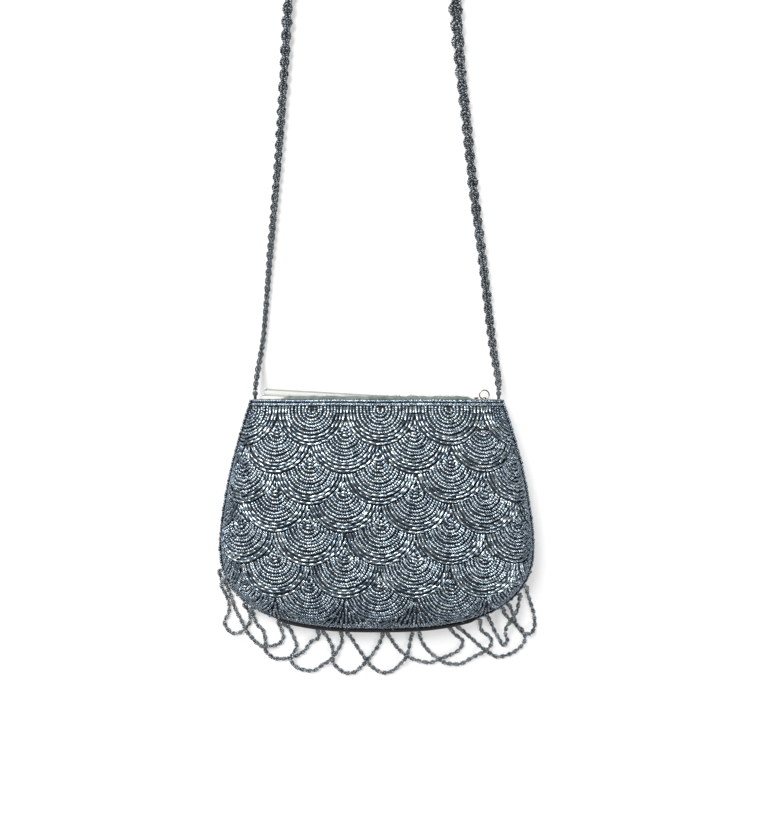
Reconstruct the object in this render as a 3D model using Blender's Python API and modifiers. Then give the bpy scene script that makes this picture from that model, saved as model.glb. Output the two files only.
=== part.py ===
"""A beaded evening bag that lies on its back, front face up, with its strap laid out beyond the mouth.

+X runs along the mouth, +Y points out of the mouth towards the strap, and +Z comes out of the front
face. Z = 0 is the surface that the bag lies on, and X = Y = 0 is the middle of the bag without its
strap and fringe.
"""

import functools
import math

import bmesh
import bpy
from mathutils import Matrix, Vector

OBJECT_NAME = "beaded_evening_bag"

# Outline of the pouch, seen from the front
POUCH_HALF_WIDTH = 0.0995
MOUTH_DRAW_IN = 0.0190
MOUTH_HALF_WIDTH = POUCH_HALF_WIDTH - MOUTH_DRAW_IN
MOUTH_REACH = 0.0707
BOTTOM_REACH = 0.0758
WIDEST_DROP = 0.0212
FLARE_POWER = 1.5
CURVE_POWER = 2.5
CURVE_ROOT = 0.38
CORNER_SHARE = 0.684
ROW_BOW_POWER = 3.0

# Depth of the pouch: the seam's height, and how far each face swells from it
MOUTH_SEAM_HEIGHT = 0.0080
BODY_SEAM_HEIGHT = 0.0130
FRONT_MOUTH_SWELL = 0.0090
FRONT_BODY_SWELL = 0.0230
BACK_MOUTH_SWELL = 0.0220
BACK_BODY_SWELL = 0.0260
SHOULDER_SHARE = 0.45
SHOULDER_POWER = 1.8
SIDE_POWER = 4.0
BOTTOM_POWER = 8.0

# Layers, from the beads inwards
BEAD_LAYER = 0.0018
GROUND_CLOTH = 0.0010
LINING_CLOTH = 0.0005
LAYER_GAP = 0.0004
SEAT_GAP = 0.0003
PANEL_INSET = BEAD_LAYER + LAYER_GAP
LINING_INSET = PANEL_INSET + GROUND_CLOTH + LAYER_GAP
LINING_TOP_DROP = 0.0055

# Fish-scale beading on the front
SCALE_PITCH = 0.0436
SCALE_ROW_PITCH = 0.0192
SCALE_SHOULDER_PITCH = 0.0166
SCALE_SHOULDER_ROWS = 1
SCALE_ROWS = 8
SCALE_OVERLAP = 0.0002
SCALE_RADIUS = SCALE_PITCH / 2 + SCALE_OVERLAP
SCALE_STEP = 0.0008
SCALE_EDGE = 0.0006
FIRST_SCALE_DROP = 0.0068
SCALE_MIDDLE = 0.0024

# Hem of straight bead rows round the mouth
HEM_HEIGHT = 0.0048
HEM_ROWS = 3
HEM_GROOVE = 0.0005

# String of beads over the seam
EDGE_STRING_RADIUS = 0.0010

# Zip
TAPE_CLOTH = 0.0005
TAPE_STAND_OFF = 0.0006
TAPE_TUCK = 0.0110
TAPE_SIDE_SHARE = 0.98
TAPE_INSET = LINING_INSET + LINING_CLOTH + TAPE_STAND_OFF
COIL_INSET = TAPE_INSET + TAPE_CLOTH / 2
COIL_RADIUS = 0.0007
COIL_WAIST_SHARE = 0.70
COIL_PITCH = 0.0025
COIL_END_MARGIN = 0.0091
COIL_END = MOUTH_HALF_WIDTH - COIL_END_MARGIN
BACK_COIL_RISE = 0.0026
FRONT_COIL_DROP = 0.0010
ZIP_TILT = math.radians(3.3)
STOP_LENGTH = 0.0018
STOP_WIDTH = 0.0014
STOP_HEIGHT = 0.0018
STOP_CHAMFER = 0.00036

# Slider, a small C of two plates that holds the back coil, and its ring pull
SLIDER_PARK = 0.0042
SLIDER_X = COIL_END - SLIDER_PARK
SLIDER_LENGTH = 0.0074
SLIDER_NECK = 0.0044
SLIDER_TAPER = 0.0025
SLIDER_LOW = 0.0022
SLIDER_HIGH = 0.0030
SLIDER_PLATE = 0.00055
SLIDER_CLEARANCE = 0.00020
SLIDER_BRIDGE = 0.0007
SLIDER_BRIDGE_LENGTH = 0.0040
ARCH_FORWARD = 0.0022
ARCH_SIDE = 0.0014
ARCH_WIDTH = 0.0012
ARCH_HOLE = 0.0018
ARCH_WALL = 0.0005
ARCH_CHAMFER = 0.0004
ARCH_ROOT = 0.0002
RING_RADIUS = 0.0031
RING_WIRE = 0.0004

# Bound thread knot at each mouth corner, from which the strap swings
KNOT_MARGIN = 0.0017
KNOT_X = MOUTH_HALF_WIDTH - KNOT_MARGIN
KNOT_STEM_RADIUS = 0.0010
KNOT_BALL_RADIUS = 0.0018
KNOT_CENTRE = 0.0037

# Cords, and the surface under them
CORD_LIFT = 0.0001
STRAP_DROP_RUN = 0.0260
FRINGE_RADIUS = 0.0011
FRINGE_DROP_RUN = 0.0100
FRINGE_LEAD = 0.0022
FRINGE_HOP = 0.0029
FRINGE_HOP_RUN = 0.0090
SEAM_SIDE_SHARE = 0.6

# Limits of the modelling tools
WELD_DISTANCE = 0.00002
SHARP_ANGLE = math.radians(40.0)

# Counts
SHELL_COLUMNS = 16
SHELL_ROWS = 12
SHELL_EASE = 2.0
ROW_EASE = 1.5
BEADING_COLUMNS = {"front": 38, "back": 34}
BEADING_EASE = 1.6
SCALE_LINE_SHARES = (0.5, 1.0)
SEAM_LINES = 5
SEAM_START_SHARE = 0.91
INVERSE_ROUNDS = 12
STRAP_POINTS = 72
FRINGE_POINTS = 22
EDGE_SIDE_POINTS = 12
EDGE_BOTTOM_POINTS = 26
ROUTE_STEPS = 16
SEAM_SAMPLES = 240
RING_SEGMENTS = 24
RING_SIDES = 6
KNOT_ARC_POINTS = 8
KNOT_SIDES = 12

# The strap's route: x, y and the rope's radius, in millimetres, from the left knot to the right one
STRAP_ROUTE_MM = [
    (-78.8, 76.8, 1.8), (-78.3, 83.0, 1.9), (-77.5, 91.0, 2.0), (-76.3, 100.0, 2.0),
    (-74.2, 115.0, 2.0), (-71.2, 152.3, 2.4), (-69.3, 175.1, 2.8), (-65.3, 221.5, 3.1),
    (-61.4, 275.8, 3.6), (-58.2, 329.4, 4.2), (-54.6, 384.0, 4.5), (-52.4, 429.0, 4.6),
    (-46.0, 465.0, 4.6), (-28.5, 491.0, 4.7), (-2.0, 500.0, 4.7), (24.0, 491.0, 4.8),
    (41.0, 465.0, 4.9), (47.3, 429.0, 5.0), (49.2, 384.0, 5.1), (51.0, 329.4, 5.0),
    (54.3, 287.6, 4.4), (58.2, 253.6, 4.1), (62.9, 209.0, 3.9), (68.6, 165.3, 3.7),
    (71.3, 142.5, 3.6), (74.5, 115.0, 3.4), (77.0, 97.0, 2.9), (78.1, 88.5, 2.4),
    (78.6, 82.5, 2.1), (78.8, 76.8, 1.8),
]

# The fringe loops, from left to right: each one's route as x, y in millimetres, then where it
# hops over a neighbour as x, y in millimetres and the number of strings under it
FRINGE_LOOPS_MM = [
    ([(-101.6, -39.5), (-102.2, -50.5), (-98.4, -58.8), (-97.5, -68.7), (-100.2, -76.4),
      (-95.4, -82.2), (-88.2, -81.2), (-83.4, -73.6), (-84.6, -63.0)], []),
    ([(-99.6, -45.5), (-95.6, -58.0), (-92.6, -67.7), (-87.2, -77.2), (-81.4, -85.8),
      (-75.0, -90.4), (-67.6, -90.4), (-61.8, -86.0), (-62.8, -75.2)],
     [(-86.3, -78.6, 1), (-74.2, -90.6, 1)]),
    ([(-80.6, -66.0), (-79.6, -75.0), (-75.4, -80.6), (-73.6, -87.8), (-72.9, -94.7),
      (-66.5, -99.6), (-57.0, -98.6), (-49.6, -95.6), (-43.6, -89.1), (-38.6, -85.0),
      (-37.3, -79.1)], []),
    ([(-59.0, -76.2), (-54.6, -85.0), (-52.8, -91.4), (-55.6, -97.6), (-53.9, -103.6),
      (-46.9, -106.9), (-40.4, -106.4), (-33.3, -101.8), (-27.6, -96.4), (-23.0, -89.0),
      (-22.4, -79.8)], [(-55.4, -97.8, 1), (-29.5, -98.3, 1)]),
    ([(-33.6, -79.2), (-32.4, -86.0), (-29.4, -91.1), (-29.0, -97.6), (-28.4, -103.2),
      (-23.2, -107.6), (-16.4, -108.8), (-10.7, -105.0), (-5.7, -99.6), (-0.6, -92.7),
      (2.9, -87.0), (3.2, -79.9)], []),
    ([(-18.4, -79.8), (-15.3, -88.4), (-9.6, -96.4), (-4.2, -103.2), (2.2, -107.9),
      (9.0, -107.6), (15.0, -103.2), (19.6, -96.4), (21.8, -88.6), (22.4, -79.8)],
     [(-6.4, -100.4, 1), (18.6, -98.2, 1)]),
    ([(6.9, -79.9), (9.6, -87.4), (14.6, -94.0), (21.6, -98.6), (28.6, -101.6),
      (35.6, -101.9), (42.2, -99.2), (49.2, -96.2), (55.4, -92.0), (56.4, -86.8),
      (50.8, -82.9), (46.6, -77.9)], []),
    ([(26.4, -79.6), (28.8, -87.4), (34.1, -94.4), (40.6, -98.2), (46.2, -102.0),
      (53.4, -103.0), (60.6, -100.2), (66.6, -96.4), (72.0, -92.9), (75.0, -89.0),
      (73.4, -84.4), (68.8, -80.6), (66.6, -74.2)],
     [(41.6, -99.2, 1), (71.0, -93.6, 1)]),
    ([(51.4, -77.4), (57.3, -82.2), (63.9, -87.6), (70.8, -93.4), (78.4, -97.6),
      (86.7, -96.4), (93.5, -92.0), (97.2, -86.0), (94.6, -79.6), (88.4, -74.4),
      (83.6, -70.0), (81.4, -65.8)], []),
    ([(71.6, -71.9), (76.0, -79.4), (79.6, -85.6), (82.8, -90.4), (85.8, -87.4),
      (84.0, -81.6), (84.6, -75.6), (88.4, -69.6), (91.8, -63.0), (93.4, -56.4)],
     [(88.0, -70.2, 2.6)]),
    ([(97.2, -50.8), (100.4, -60.0), (102.6, -68.0), (104.0, -76.2), (101.0, -82.0),
      (95.6, -81.4), (91.4, -76.2), (88.6, -69.4), (85.2, -62.4)],
     [(97.6, -82.0, 1), (92.6, -78.8, 1), (89.6, -73.0, 1)]),
]

MILLIMETRE = 0.001


def smooth(share):
    """Ease from 0 to 1."""
    share = min(max(share, 0.0), 1.0)
    return share * share * (3.0 - 2.0 * share)


def mix(low, high, share):
    return low + (high - low) * share


# The pouch as a formula

def corner_y(inset):
    """Height at which the side of the outline hands over to the bottom curve."""
    return -mix(WIDEST_DROP, BOTTOM_REACH - inset, CORNER_SHARE)


def side_width(y, inset):
    """Half-width of the outline at a height, for a pouch smaller by an inset all round."""
    widest = POUCH_HALF_WIDTH - inset
    if y > -WIDEST_DROP:
        share = (y + WIDEST_DROP) / (MOUTH_REACH + WIDEST_DROP)
        return widest - (POUCH_HALF_WIDTH - MOUTH_HALF_WIDTH) * share ** FLARE_POWER
    share = (-WIDEST_DROP - y) / (BOTTOM_REACH - inset - WIDEST_DROP)
    return widest * (1.0 - share ** CURVE_POWER) ** CURVE_ROOT


def bottom_y(x, inset):
    """Height of the bottom curve at a distance from the middle."""
    share = abs(x) / (POUCH_HALF_WIDTH - inset)
    drop_share = (1.0 - share ** (1.0 / CURVE_ROOT)) ** (1.0 / CURVE_POWER)
    return -mix(WIDEST_DROP, BOTTOM_REACH - inset, drop_share)


def share_down(y, inset=0.0):
    """Where a height lies between the mouth, 0, and the outline's lower corners, 1."""
    return (MOUTH_REACH - y) / (MOUTH_REACH - corner_y(inset))


def plan_point(across, down, inset):
    """A place on the outline's plan: across runs from -1 to 1, down from the mouth to the seam."""
    low_corner = corner_y(inset)
    y_side = mix(MOUTH_REACH, low_corner, down)
    x_corner = side_width(low_corner, inset)
    bow = (bottom_y(across * x_corner, inset) - low_corner) * max(down, 0.0) ** ROW_BOW_POWER
    return across * side_width(y_side, inset), y_side + bow


def shoulder_ease(down):
    """How much of the full depth is reached: it grows at once from the mouth, then levels out."""
    return 1.0 - (1.0 - min(max(down / SHOULDER_SHARE, 0.0), 1.0)) ** SHOULDER_POWER


def seam_height(down):
    return mix(MOUTH_SEAM_HEIGHT, BODY_SEAM_HEIGHT, shoulder_ease(down))


def pouch_point(face, across, down, inset, sunk=0.0):
    """A point on the front or back face of the pouch, an inset under its bead surface and sunk
    further where a relief says so. The bag's own weight presses the back's relief level."""
    x, y = plan_point(across, down, inset + sunk)
    fall = math.sqrt(max(1.0 - abs(across) ** SIDE_POWER, 0.0))
    fall *= math.sqrt(max(1.0 - abs(down) ** BOTTOM_POWER, 0.0))
    shoulder = shoulder_ease(down)
    seam = seam_height(down)
    if face == "front":
        swell = mix(FRONT_MOUTH_SWELL, FRONT_BODY_SWELL, shoulder) - inset - sunk
        return Vector((x, y, seam + SEAT_GAP / 2 + swell * fall))
    swell = mix(BACK_MOUTH_SWELL, BACK_BODY_SWELL, shoulder) - inset - sunk
    return Vector((x, y, max(inset, seam - SEAT_GAP / 2 - swell * fall)))


# Helpers that make objects

def make_material(name, colour, roughness, metallic):
    material = bpy.data.materials.new(name)
    material.use_nodes = True
    shader = material.node_tree.nodes["Principled BSDF"]
    shader.inputs["Base Color"].default_value = (*colour, 1.0)
    shader.inputs["Roughness"].default_value = roughness
    shader.inputs["Metallic"].default_value = metallic
    material.diffuse_color = (*colour, 1.0)
    return material


def finish_object(collection, name, data, finish):
    """Put data into the collection as a named object with its own copy of a finish."""
    part = bpy.data.objects.new(name, data)
    collection.objects.link(part)
    part.data.materials.append(make_material(name, *finish))
    return part


BEAD_FINISH = ((0.16, 0.20, 0.24), 0.25, 0.35)
STRING_FINISH = ((0.13, 0.17, 0.20), 0.30, 0.35)
CLOTH_FINISH = ((0.20, 0.23, 0.27), 0.85, 0.0)
LINING_FINISH = ((0.62, 0.64, 0.62), 0.45, 0.0)
TAPE_FINISH = ((0.74, 0.76, 0.72), 0.80, 0.0)
COIL_FINISH = ((0.45, 0.46, 0.44), 0.45, 0.0)
METAL_FINISH = ((0.42, 0.38, 0.34), 0.30, 1.0)
THREAD_FINISH = ((0.22, 0.24, 0.27), 0.75, 0.0)


def pouch_sheet(collection, name, face, finish, outer, inner, top, bottom, grid,
                sides=1.0, ease=SHELL_EASE, relief=None, lines=None):
    """A closed sheet of the pouch: a unit slab whose points are laid on the pouch's surface.
    Its rows are even, or follow the lines that a function gives for each place across."""
    columns, rows = grid
    mesh = bmesh.new()
    bmesh.ops.create_grid(mesh, x_segments=columns, y_segments=rows, size=1.0)
    grown = bmesh.ops.extrude_face_region(mesh, geom=mesh.faces[:])
    for vert in (item for item in grown["geom"] if isinstance(item, bmesh.types.BMVert)):
        vert.co.z = 1.0
    for vert in mesh.verts:
        along, level = vert.co.x, (1.0 - vert.co.y) / 2.0
        across = sides * math.copysign(1.0 - (1.0 - abs(along)) ** ease, along)
        down_share = 1.0 - (1.0 - level) ** ROW_EASE if bottom == 1.0 else level
        down = mix(top(across), bottom, down_share)
        sunk = 0.0
        if lines:
            down, sunk = lines(across)[round(level * rows)]
        elif relief:
            sunk = relief(level)
        if vert.co.z > 0.5:
            vert.co = pouch_point(face, across, down, inner)
        else:
            vert.co = pouch_point(face, across, down, outer, sunk)
    bmesh.ops.triangulate(mesh, faces=mesh.faces[:], quad_method="SHORT_EDGE")
    bmesh.ops.recalc_face_normals(mesh, faces=mesh.faces[:])
    data = bpy.data.meshes.new(name)
    mesh.to_mesh(data)
    mesh.free()
    data.shade_smooth()
    data.set_sharp_from_angle(angle=SHARP_ANGLE)
    return finish_object(collection, name, data, finish)


def smooth_route(points, count):
    """Even points along a Catmull-Rom curve through the given ones."""
    rows = [Vector(point) for point in points]
    rows = [2 * rows[0] - rows[1]] + rows + [2 * rows[-1] - rows[-2]]
    fine = []
    for i in range(1, len(rows) - 2):
        before, start, end, after = rows[i - 1:i + 3]
        for step in range(ROUTE_STEPS):
            t = step / ROUTE_STEPS
            fine.append(0.5 * (2 * start + (end - before) * t
                               + (2 * before - 5 * start + 4 * end - after) * t * t
                               + (3 * start - before - 3 * end + after) * t ** 3))
    fine.append(rows[-2])
    reach = [0.0]
    for last, here in zip(fine, fine[1:]):
        reach.append(reach[-1] + (here - last).length)
    even = []
    j = 0
    for i in range(count):
        target = reach[-1] * i / (count - 1)
        while j < len(reach) - 2 and reach[j + 1] < target:
            j += 1
        even.append(fine[j].lerp(fine[j + 1], (target - reach[j]) / (reach[j + 1] - reach[j])))
    return even


def make_tube(collection, name, points, radii, finish, sides_level):
    """A closed tube along points, as a bevelled curve with its own radius at each point."""
    curve = bpy.data.curves.new(name, "CURVE")
    curve.dimensions = "3D"
    curve.bevel_depth = 1.0
    curve.bevel_resolution = sides_level
    curve.use_fill_caps = True
    spline = curve.splines.new("POLY")
    spline.points.add(len(points) - 1)
    for control, place, radius in zip(spline.points, points, radii):
        control.co = (*place, 1.0)
        control.radius = radius
    return finish_object(collection, name, curve, finish)


# The pouch's pieces

def mouth_edge(across):
    return 0.0


def below_hem(across):
    return share_down(MOUTH_REACH - HEM_HEIGHT - SEAT_GAP)


def lining_edge(across):
    return share_down(MOUTH_REACH - LINING_TOP_DROP)


def scale_rows():
    """Heights of the scales' centres, closer together over the shoulder, which slopes away."""
    y = MOUTH_REACH - FIRST_SCALE_DROP
    heights = []
    for row in range(SCALE_ROWS):
        heights.append(y)
        y -= SCALE_SHOULDER_PITCH if row < SCALE_SHOULDER_ROWS else SCALE_ROW_PITCH
    return heights


SCALE_HEIGHTS = scale_rows()


def rim_height(row, x):
    """Height of the scalloped rim of a row of scales, at a distance from the bag's middle."""
    offset = SCALE_MIDDLE + (SCALE_PITCH / 2 if row % 2 else 0.0)
    centre_x = offset + SCALE_PITCH * round((x - offset) / SCALE_PITCH)
    return SCALE_HEIGHTS[row] - math.sqrt(SCALE_RADIUS ** 2 - (x - centre_x) ** 2)


def rim_down(row, across):
    """The same rim as a share down the pouch: the way back through plan_point, in a few rounds."""
    low = corner_y(0.0)
    bow = bottom_y(across * side_width(low, 0.0), 0.0) - low
    down = 0.0
    for _ in range(INVERSE_ROUNDS):
        x = across * side_width(mix(MOUTH_REACH, low, min(down, 1.0)), 0.0)
        drop = MOUTH_REACH - rim_height(row, x) + bow * min(down, 1.0) ** ROW_BOW_POWER
        down = drop / (MOUTH_REACH - low)
    return down


@functools.cache
def scale_lines(across):
    """Rows of the beading's mesh at a place across, each as its share down and how far it is sunk.
    Each scale comes out from under the one above, sunk by a step, and stands proud at its rim.
    What lies past the start of the seam's roll is spread evenly over the roll."""
    edge = SCALE_EDGE / (MOUTH_REACH - corner_y(0.0))
    lines = [(below_hem(across), SCALE_STEP)]
    for row in range(SCALE_ROWS):
        start, rim = lines[-1][0], rim_down(row, across)
        for share in SCALE_LINE_SHARES:
            lines.append((mix(start, max(rim, start + 2 * edge), share), SCALE_STEP * (1.0 - share)))
        lines.append((lines[-1][0] + edge, SCALE_STEP))
    kept = [line for line in lines if line[0] < SEAM_START_SHARE]
    spare = len(lines) + SEAM_LINES - len(kept)
    start = kept[-1][0]
    for i in range(1, spare + 1):
        kept.append((mix(start, 1.0, 1.0 - (1.0 - i / spare) ** ROW_EASE), 0.0))
    return kept


def hem_relief(level):
    """Grooves between the hem's straight rows of beads."""
    return HEM_GROOVE * (1.0 - abs(math.sin(math.pi * HEM_ROWS * level)))


def make_pouch(collection):
    shell = (SHELL_COLUMNS, SHELL_ROWS)
    for face in ("front", "back"):
        pouch_sheet(collection, face + "_panel", face, CLOTH_FINISH, PANEL_INSET,
                    PANEL_INSET + GROUND_CLOTH, mouth_edge, 1.0, shell)
        pouch_sheet(collection, "lining_" + face, face, LINING_FINISH, LINING_INSET,
                    LINING_INSET + LINING_CLOTH, lining_edge, 1.0, shell)
        pouch_sheet(collection, "hem_beads_" + face, face, BEAD_FINISH, 0.0, BEAD_LAYER,
                    mouth_edge, share_down(MOUTH_REACH - HEM_HEIGHT),
                    (SHELL_COLUMNS, 2 * HEM_ROWS), relief=hem_relief if face == "front" else None)
        pouch_sheet(collection, face + "_beading", face, BEAD_FINISH, 0.0, BEAD_LAYER, below_hem,
                    1.0, (BEADING_COLUMNS[face], len(scale_lines(0.0)) - 1), ease=BEADING_EASE,
                    lines=scale_lines)


def make_edge_string(collection):
    """The string of beads that hides the seam, from one mouth corner round to the other."""
    outset = -(EDGE_STRING_RADIUS + SEAT_GAP)
    side = [math.sin(math.pi / 2 * i / EDGE_SIDE_POINTS) for i in range(EDGE_SIDE_POINTS)]
    bottom = [math.sin(math.pi / 2 * (2 * i / EDGE_BOTTOM_POINTS - 1))
              for i in range(EDGE_BOTTOM_POINTS + 1)]
    places = [(-1.0, down) for down in side]
    places += [(across, 1.0) for across in bottom]
    places += [(1.0, down) for down in reversed(side)]
    points = [(*plan_point(across, down, outset), seam_height(down)) for across, down in places]
    radii = [EDGE_STRING_RADIUS] * len(points)
    make_tube(collection, "edge_bead_string", points, radii, BEAD_FINISH, 1)


# The zip

def zip_y(face, x):
    """Height of a coil's centre line, which rises towards the left."""
    rise = -FRONT_COIL_DROP if face == "front" else BACK_COIL_RISE
    return MOUTH_REACH + rise - x * math.tan(ZIP_TILT)


def tape_edge(face):
    """Top edge of a zip tape, just under its coil, as a share down the pouch for each place across."""
    def edge(across):
        y = zip_y(face, across * MOUTH_HALF_WIDTH) - COIL_RADIUS - SEAT_GAP
        return share_down(y, TAPE_INSET)
    return edge


def coil_point(face, x):
    """A place on the coil's centre line."""
    y = zip_y(face, x)
    across = x / side_width(y, COIL_INSET)
    return pouch_point(face, across, share_down(y, COIL_INSET), COIL_INSET)


def make_zip(collection):
    tape_low = share_down(MOUTH_REACH - TAPE_TUCK)
    half_ribs = 2 * round(COIL_END * 2 / COIL_PITCH)
    for face in ("front", "back"):
        pouch_sheet(collection, "zip_tape_" + face, face, TAPE_FINISH, TAPE_INSET,
                    TAPE_INSET + TAPE_CLOTH, tape_edge(face), tape_low, (SHELL_COLUMNS, 2),
                    sides=TAPE_SIDE_SHARE)
        xs = [mix(-COIL_END, COIL_END, i / half_ribs) for i in range(half_ribs + 1)]
        points = [coil_point(face, x) for x in xs]
        radii = [COIL_RADIUS * (1.0 if i % 2 else COIL_WAIST_SHARE) for i in range(len(xs))]
        make_tube(collection, "zip_coil_" + face, points, radii, COIL_FINISH, 0)


def make_stop(collection, name, face, x):
    """A small crimped metal block past the end of a coil."""
    place = coil_point(face, x)
    mesh = bmesh.new()
    bmesh.ops.create_cube(mesh, size=1.0)
    bmesh.ops.scale(mesh, vec=(STOP_LENGTH, STOP_WIDTH, STOP_HEIGHT), verts=mesh.verts[:])
    bmesh.ops.bevel(mesh, geom=mesh.edges[:], offset=STOP_CHAMFER, segments=1, affect="EDGES")
    data = bpy.data.meshes.new(name)
    mesh.to_mesh(data)
    mesh.free()
    stop = finish_object(collection, name, data, METAL_FINISH)
    stop.location = place
    stop.rotation_euler.z = -ZIP_TILT


def make_stops(collection):
    past_end = COIL_END + SEAT_GAP + STOP_LENGTH / 2
    make_stop(collection, "zip_top_stop_front", "front", -past_end)
    make_stop(collection, "zip_top_stop_back", "back", -past_end)
    make_stop(collection, "zip_bottom_stop", "back", past_end)


def flat_plate(name, outline, thickness, hole=None):
    """A flat outline, with a hole if one is given, extruded both ways from its plane."""
    curve = bpy.data.curves.new(name, "CURVE")
    curve.dimensions = "2D"
    curve.fill_mode = "BOTH"
    curve.extrude = thickness / 2
    for loop in (outline, hole) if hole else (outline,):
        spline = curve.splines.new("POLY")
        spline.points.add(len(loop) - 1)
        spline.use_cyclic_u = True
        for control, (u, v) in zip(spline.points, loop):
            control.co = (u, v, 0.0, 1.0)
    helper = bpy.data.objects.new(name, curve)
    bpy.context.scene.collection.objects.link(helper)
    bpy.context.view_layer.update()
    data = bpy.data.meshes.new_from_object(helper.evaluated_get(bpy.context.evaluated_depsgraph_get()))
    bpy.data.objects.remove(helper)
    welded = bmesh.new()
    welded.from_mesh(data)
    bmesh.ops.remove_doubles(welded, verts=welded.verts[:], dist=WELD_DISTANCE)
    bmesh.ops.recalc_face_normals(welded, faces=welded.faces[:])
    welded.to_mesh(data)
    welded.free()
    return data


def join_solid(target, cutters, data):
    """Unite a mesh with the target through a Boolean whose operand stays hidden."""
    tool = bpy.data.objects.new(data.name + "_join", data)
    cutters.objects.link(tool)
    tool.hide_render = True
    tool.display_type = "WIRE"
    tool.parent = target
    union = target.modifiers.new(data.name, "BOOLEAN")
    union.operation = "UNION"
    union.object = tool


def slider_outline():
    """The slider's plate seen from the front: wide shoulders, then a neck at the pull's end."""
    back, front = -SLIDER_LENGTH / 2, SLIDER_LENGTH / 2
    neck_from = front - SLIDER_TAPER
    spare = (SLIDER_LOW + SLIDER_HIGH - SLIDER_NECK) / 2
    return [(back, -SLIDER_LOW), (neck_from, -SLIDER_LOW), (front, -SLIDER_LOW + spare),
            (front, SLIDER_HIGH), (neck_from, SLIDER_HIGH), (back, SLIDER_HIGH - spare)]


def make_slider(collection, cutters):
    """Two plates round the coil, a bridge between them, and the arch that the ring hangs in."""
    plate_lift = COIL_RADIUS + SLIDER_CLEARANCE + SLIDER_PLATE / 2
    data = flat_plate("zip_slider", slider_outline(), SLIDER_PLATE)
    data.transform(Matrix.Translation((0.0, 0.0, plate_lift)))
    slider = finish_object(collection, "zip_slider", data, METAL_FINISH)
    lower = flat_plate("slider_lower_plate", slider_outline(), SLIDER_PLATE)
    lower.transform(Matrix.Translation((0.0, 0.0, -plate_lift)))
    join_solid(slider, cutters, lower)
    low = COIL_RADIUS + SLIDER_CLEARANCE
    half = SLIDER_BRIDGE_LENGTH / 2
    bridge = flat_plate("slider_bridge", [(-half, low), (half, low), (half, low + SLIDER_BRIDGE),
                                          (-half, low + SLIDER_BRIDGE)], 2 * plate_lift)
    join_solid(slider, cutters, bridge)
    hole_low = COIL_RADIUS + SLIDER_CLEARANCE + SLIDER_PLATE
    foot = hole_low - ARCH_ROOT
    wide, tall = ARCH_HOLE / 2 + ARCH_WALL, hole_low + ARCH_HOLE + ARCH_WALL
    inner_wide, inner_tall = ARCH_HOLE / 2, hole_low + ARCH_HOLE
    arch = flat_plate("slider_arch", [
        (-wide, foot), (-inner_wide, foot), (-inner_wide, inner_tall - ARCH_CHAMFER),
        (-inner_wide + ARCH_CHAMFER, inner_tall), (inner_wide - ARCH_CHAMFER, inner_tall),
        (inner_wide, inner_tall - ARCH_CHAMFER), (inner_wide, foot), (wide, foot),
        (wide, tall - ARCH_CHAMFER), (wide - ARCH_CHAMFER, tall), (-wide + ARCH_CHAMFER, tall),
        (-wide, tall - ARCH_CHAMFER)], ARCH_WIDTH)
    upright = Matrix(((0, 0, 1), (1, 0, 0), (0, 1, 0))).to_4x4()
    arch.transform(Matrix.Translation((ARCH_FORWARD, ARCH_SIDE, 0.0)) @ upright)
    join_solid(slider, cutters, arch)
    slider.location = coil_point("back", SLIDER_X)
    slider.rotation_euler.z = -ZIP_TILT
    return slider


def make_ring(collection, slider):
    """The ring pull, which lies out over the mouth and turns in the slider's arch."""
    data = bpy.data.meshes.new("zip_ring_pull")
    mesh = bmesh.new()
    rings = []
    for i in range(RING_SEGMENTS):
        turn = 2 * math.pi * i / RING_SEGMENTS
        out = Vector((math.sin(turn), -math.cos(turn), 0.0))
        middle = Vector((0.0, RING_RADIUS, 0.0)) + out * RING_RADIUS
        loop = []
        for j in range(RING_SIDES):
            roll = 2 * math.pi * j / RING_SIDES
            spoke = math.cos(roll) * out + math.sin(roll) * Vector((0.0, 0.0, 1.0))
            loop.append(mesh.verts.new(middle + RING_WIRE * spoke))
        rings.append(loop)
    for i in range(RING_SEGMENTS):
        here, after = rings[i], rings[(i + 1) % RING_SEGMENTS]
        for j in range(RING_SIDES):
            k = (j + 1) % RING_SIDES
            mesh.faces.new((here[j], here[k], after[k], after[j]))
    bmesh.ops.recalc_face_normals(mesh, faces=mesh.faces[:])
    mesh.to_mesh(data)
    mesh.free()
    data.shade_smooth()
    ring = finish_object(collection, "zip_ring_pull", data, METAL_FINISH)
    ring.parent = slider
    lift = COIL_RADIUS + SLIDER_CLEARANCE + SLIDER_PLATE + ARCH_HOLE / 2
    ring.location = (ARCH_FORWARD, ARCH_SIDE, lift)


# Strap and fringe

def make_knots(collection):
    """A turned knot of bound thread at each mouth corner: a short stem and a round head."""
    top_turn = math.pi / 2
    low_turn = -math.acos(KNOT_STEM_RADIUS / KNOT_BALL_RADIUS)
    profile = []
    for i in range(KNOT_ARC_POINTS + 1):
        turn = mix(top_turn, low_turn, i / KNOT_ARC_POINTS)
        profile.append((KNOT_BALL_RADIUS * math.cos(turn),
                        KNOT_CENTRE + KNOT_BALL_RADIUS * math.sin(turn)))
    profile[0] = (0.0, KNOT_CENTRE + KNOT_BALL_RADIUS)
    profile += [(KNOT_STEM_RADIUS, 0.0), (0.0, 0.0)]
    for side, x in (("left", -KNOT_X), ("right", KNOT_X)):
        name = "strap_knot_" + side
        data = bpy.data.meshes.new(name)
        data.from_pydata([(radius, 0.0, z) for radius, z in profile],
                         [(i, i + 1) for i in range(len(profile) - 1)], [])
        knot = finish_object(collection, name, data, THREAD_FINISH)
        turn = knot.modifiers.new("Turn", "SCREW")
        turn.steps = turn.render_steps = KNOT_SIDES
        turn.use_merge_vertices = True
        turn.merge_threshold = WELD_DISTANCE
        turn.use_smooth_shade = True
        knot.location = (x, MOUTH_REACH + SEAT_GAP, MOUTH_SEAM_HEIGHT)
        knot.rotation_euler.x = -math.pi / 2


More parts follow.
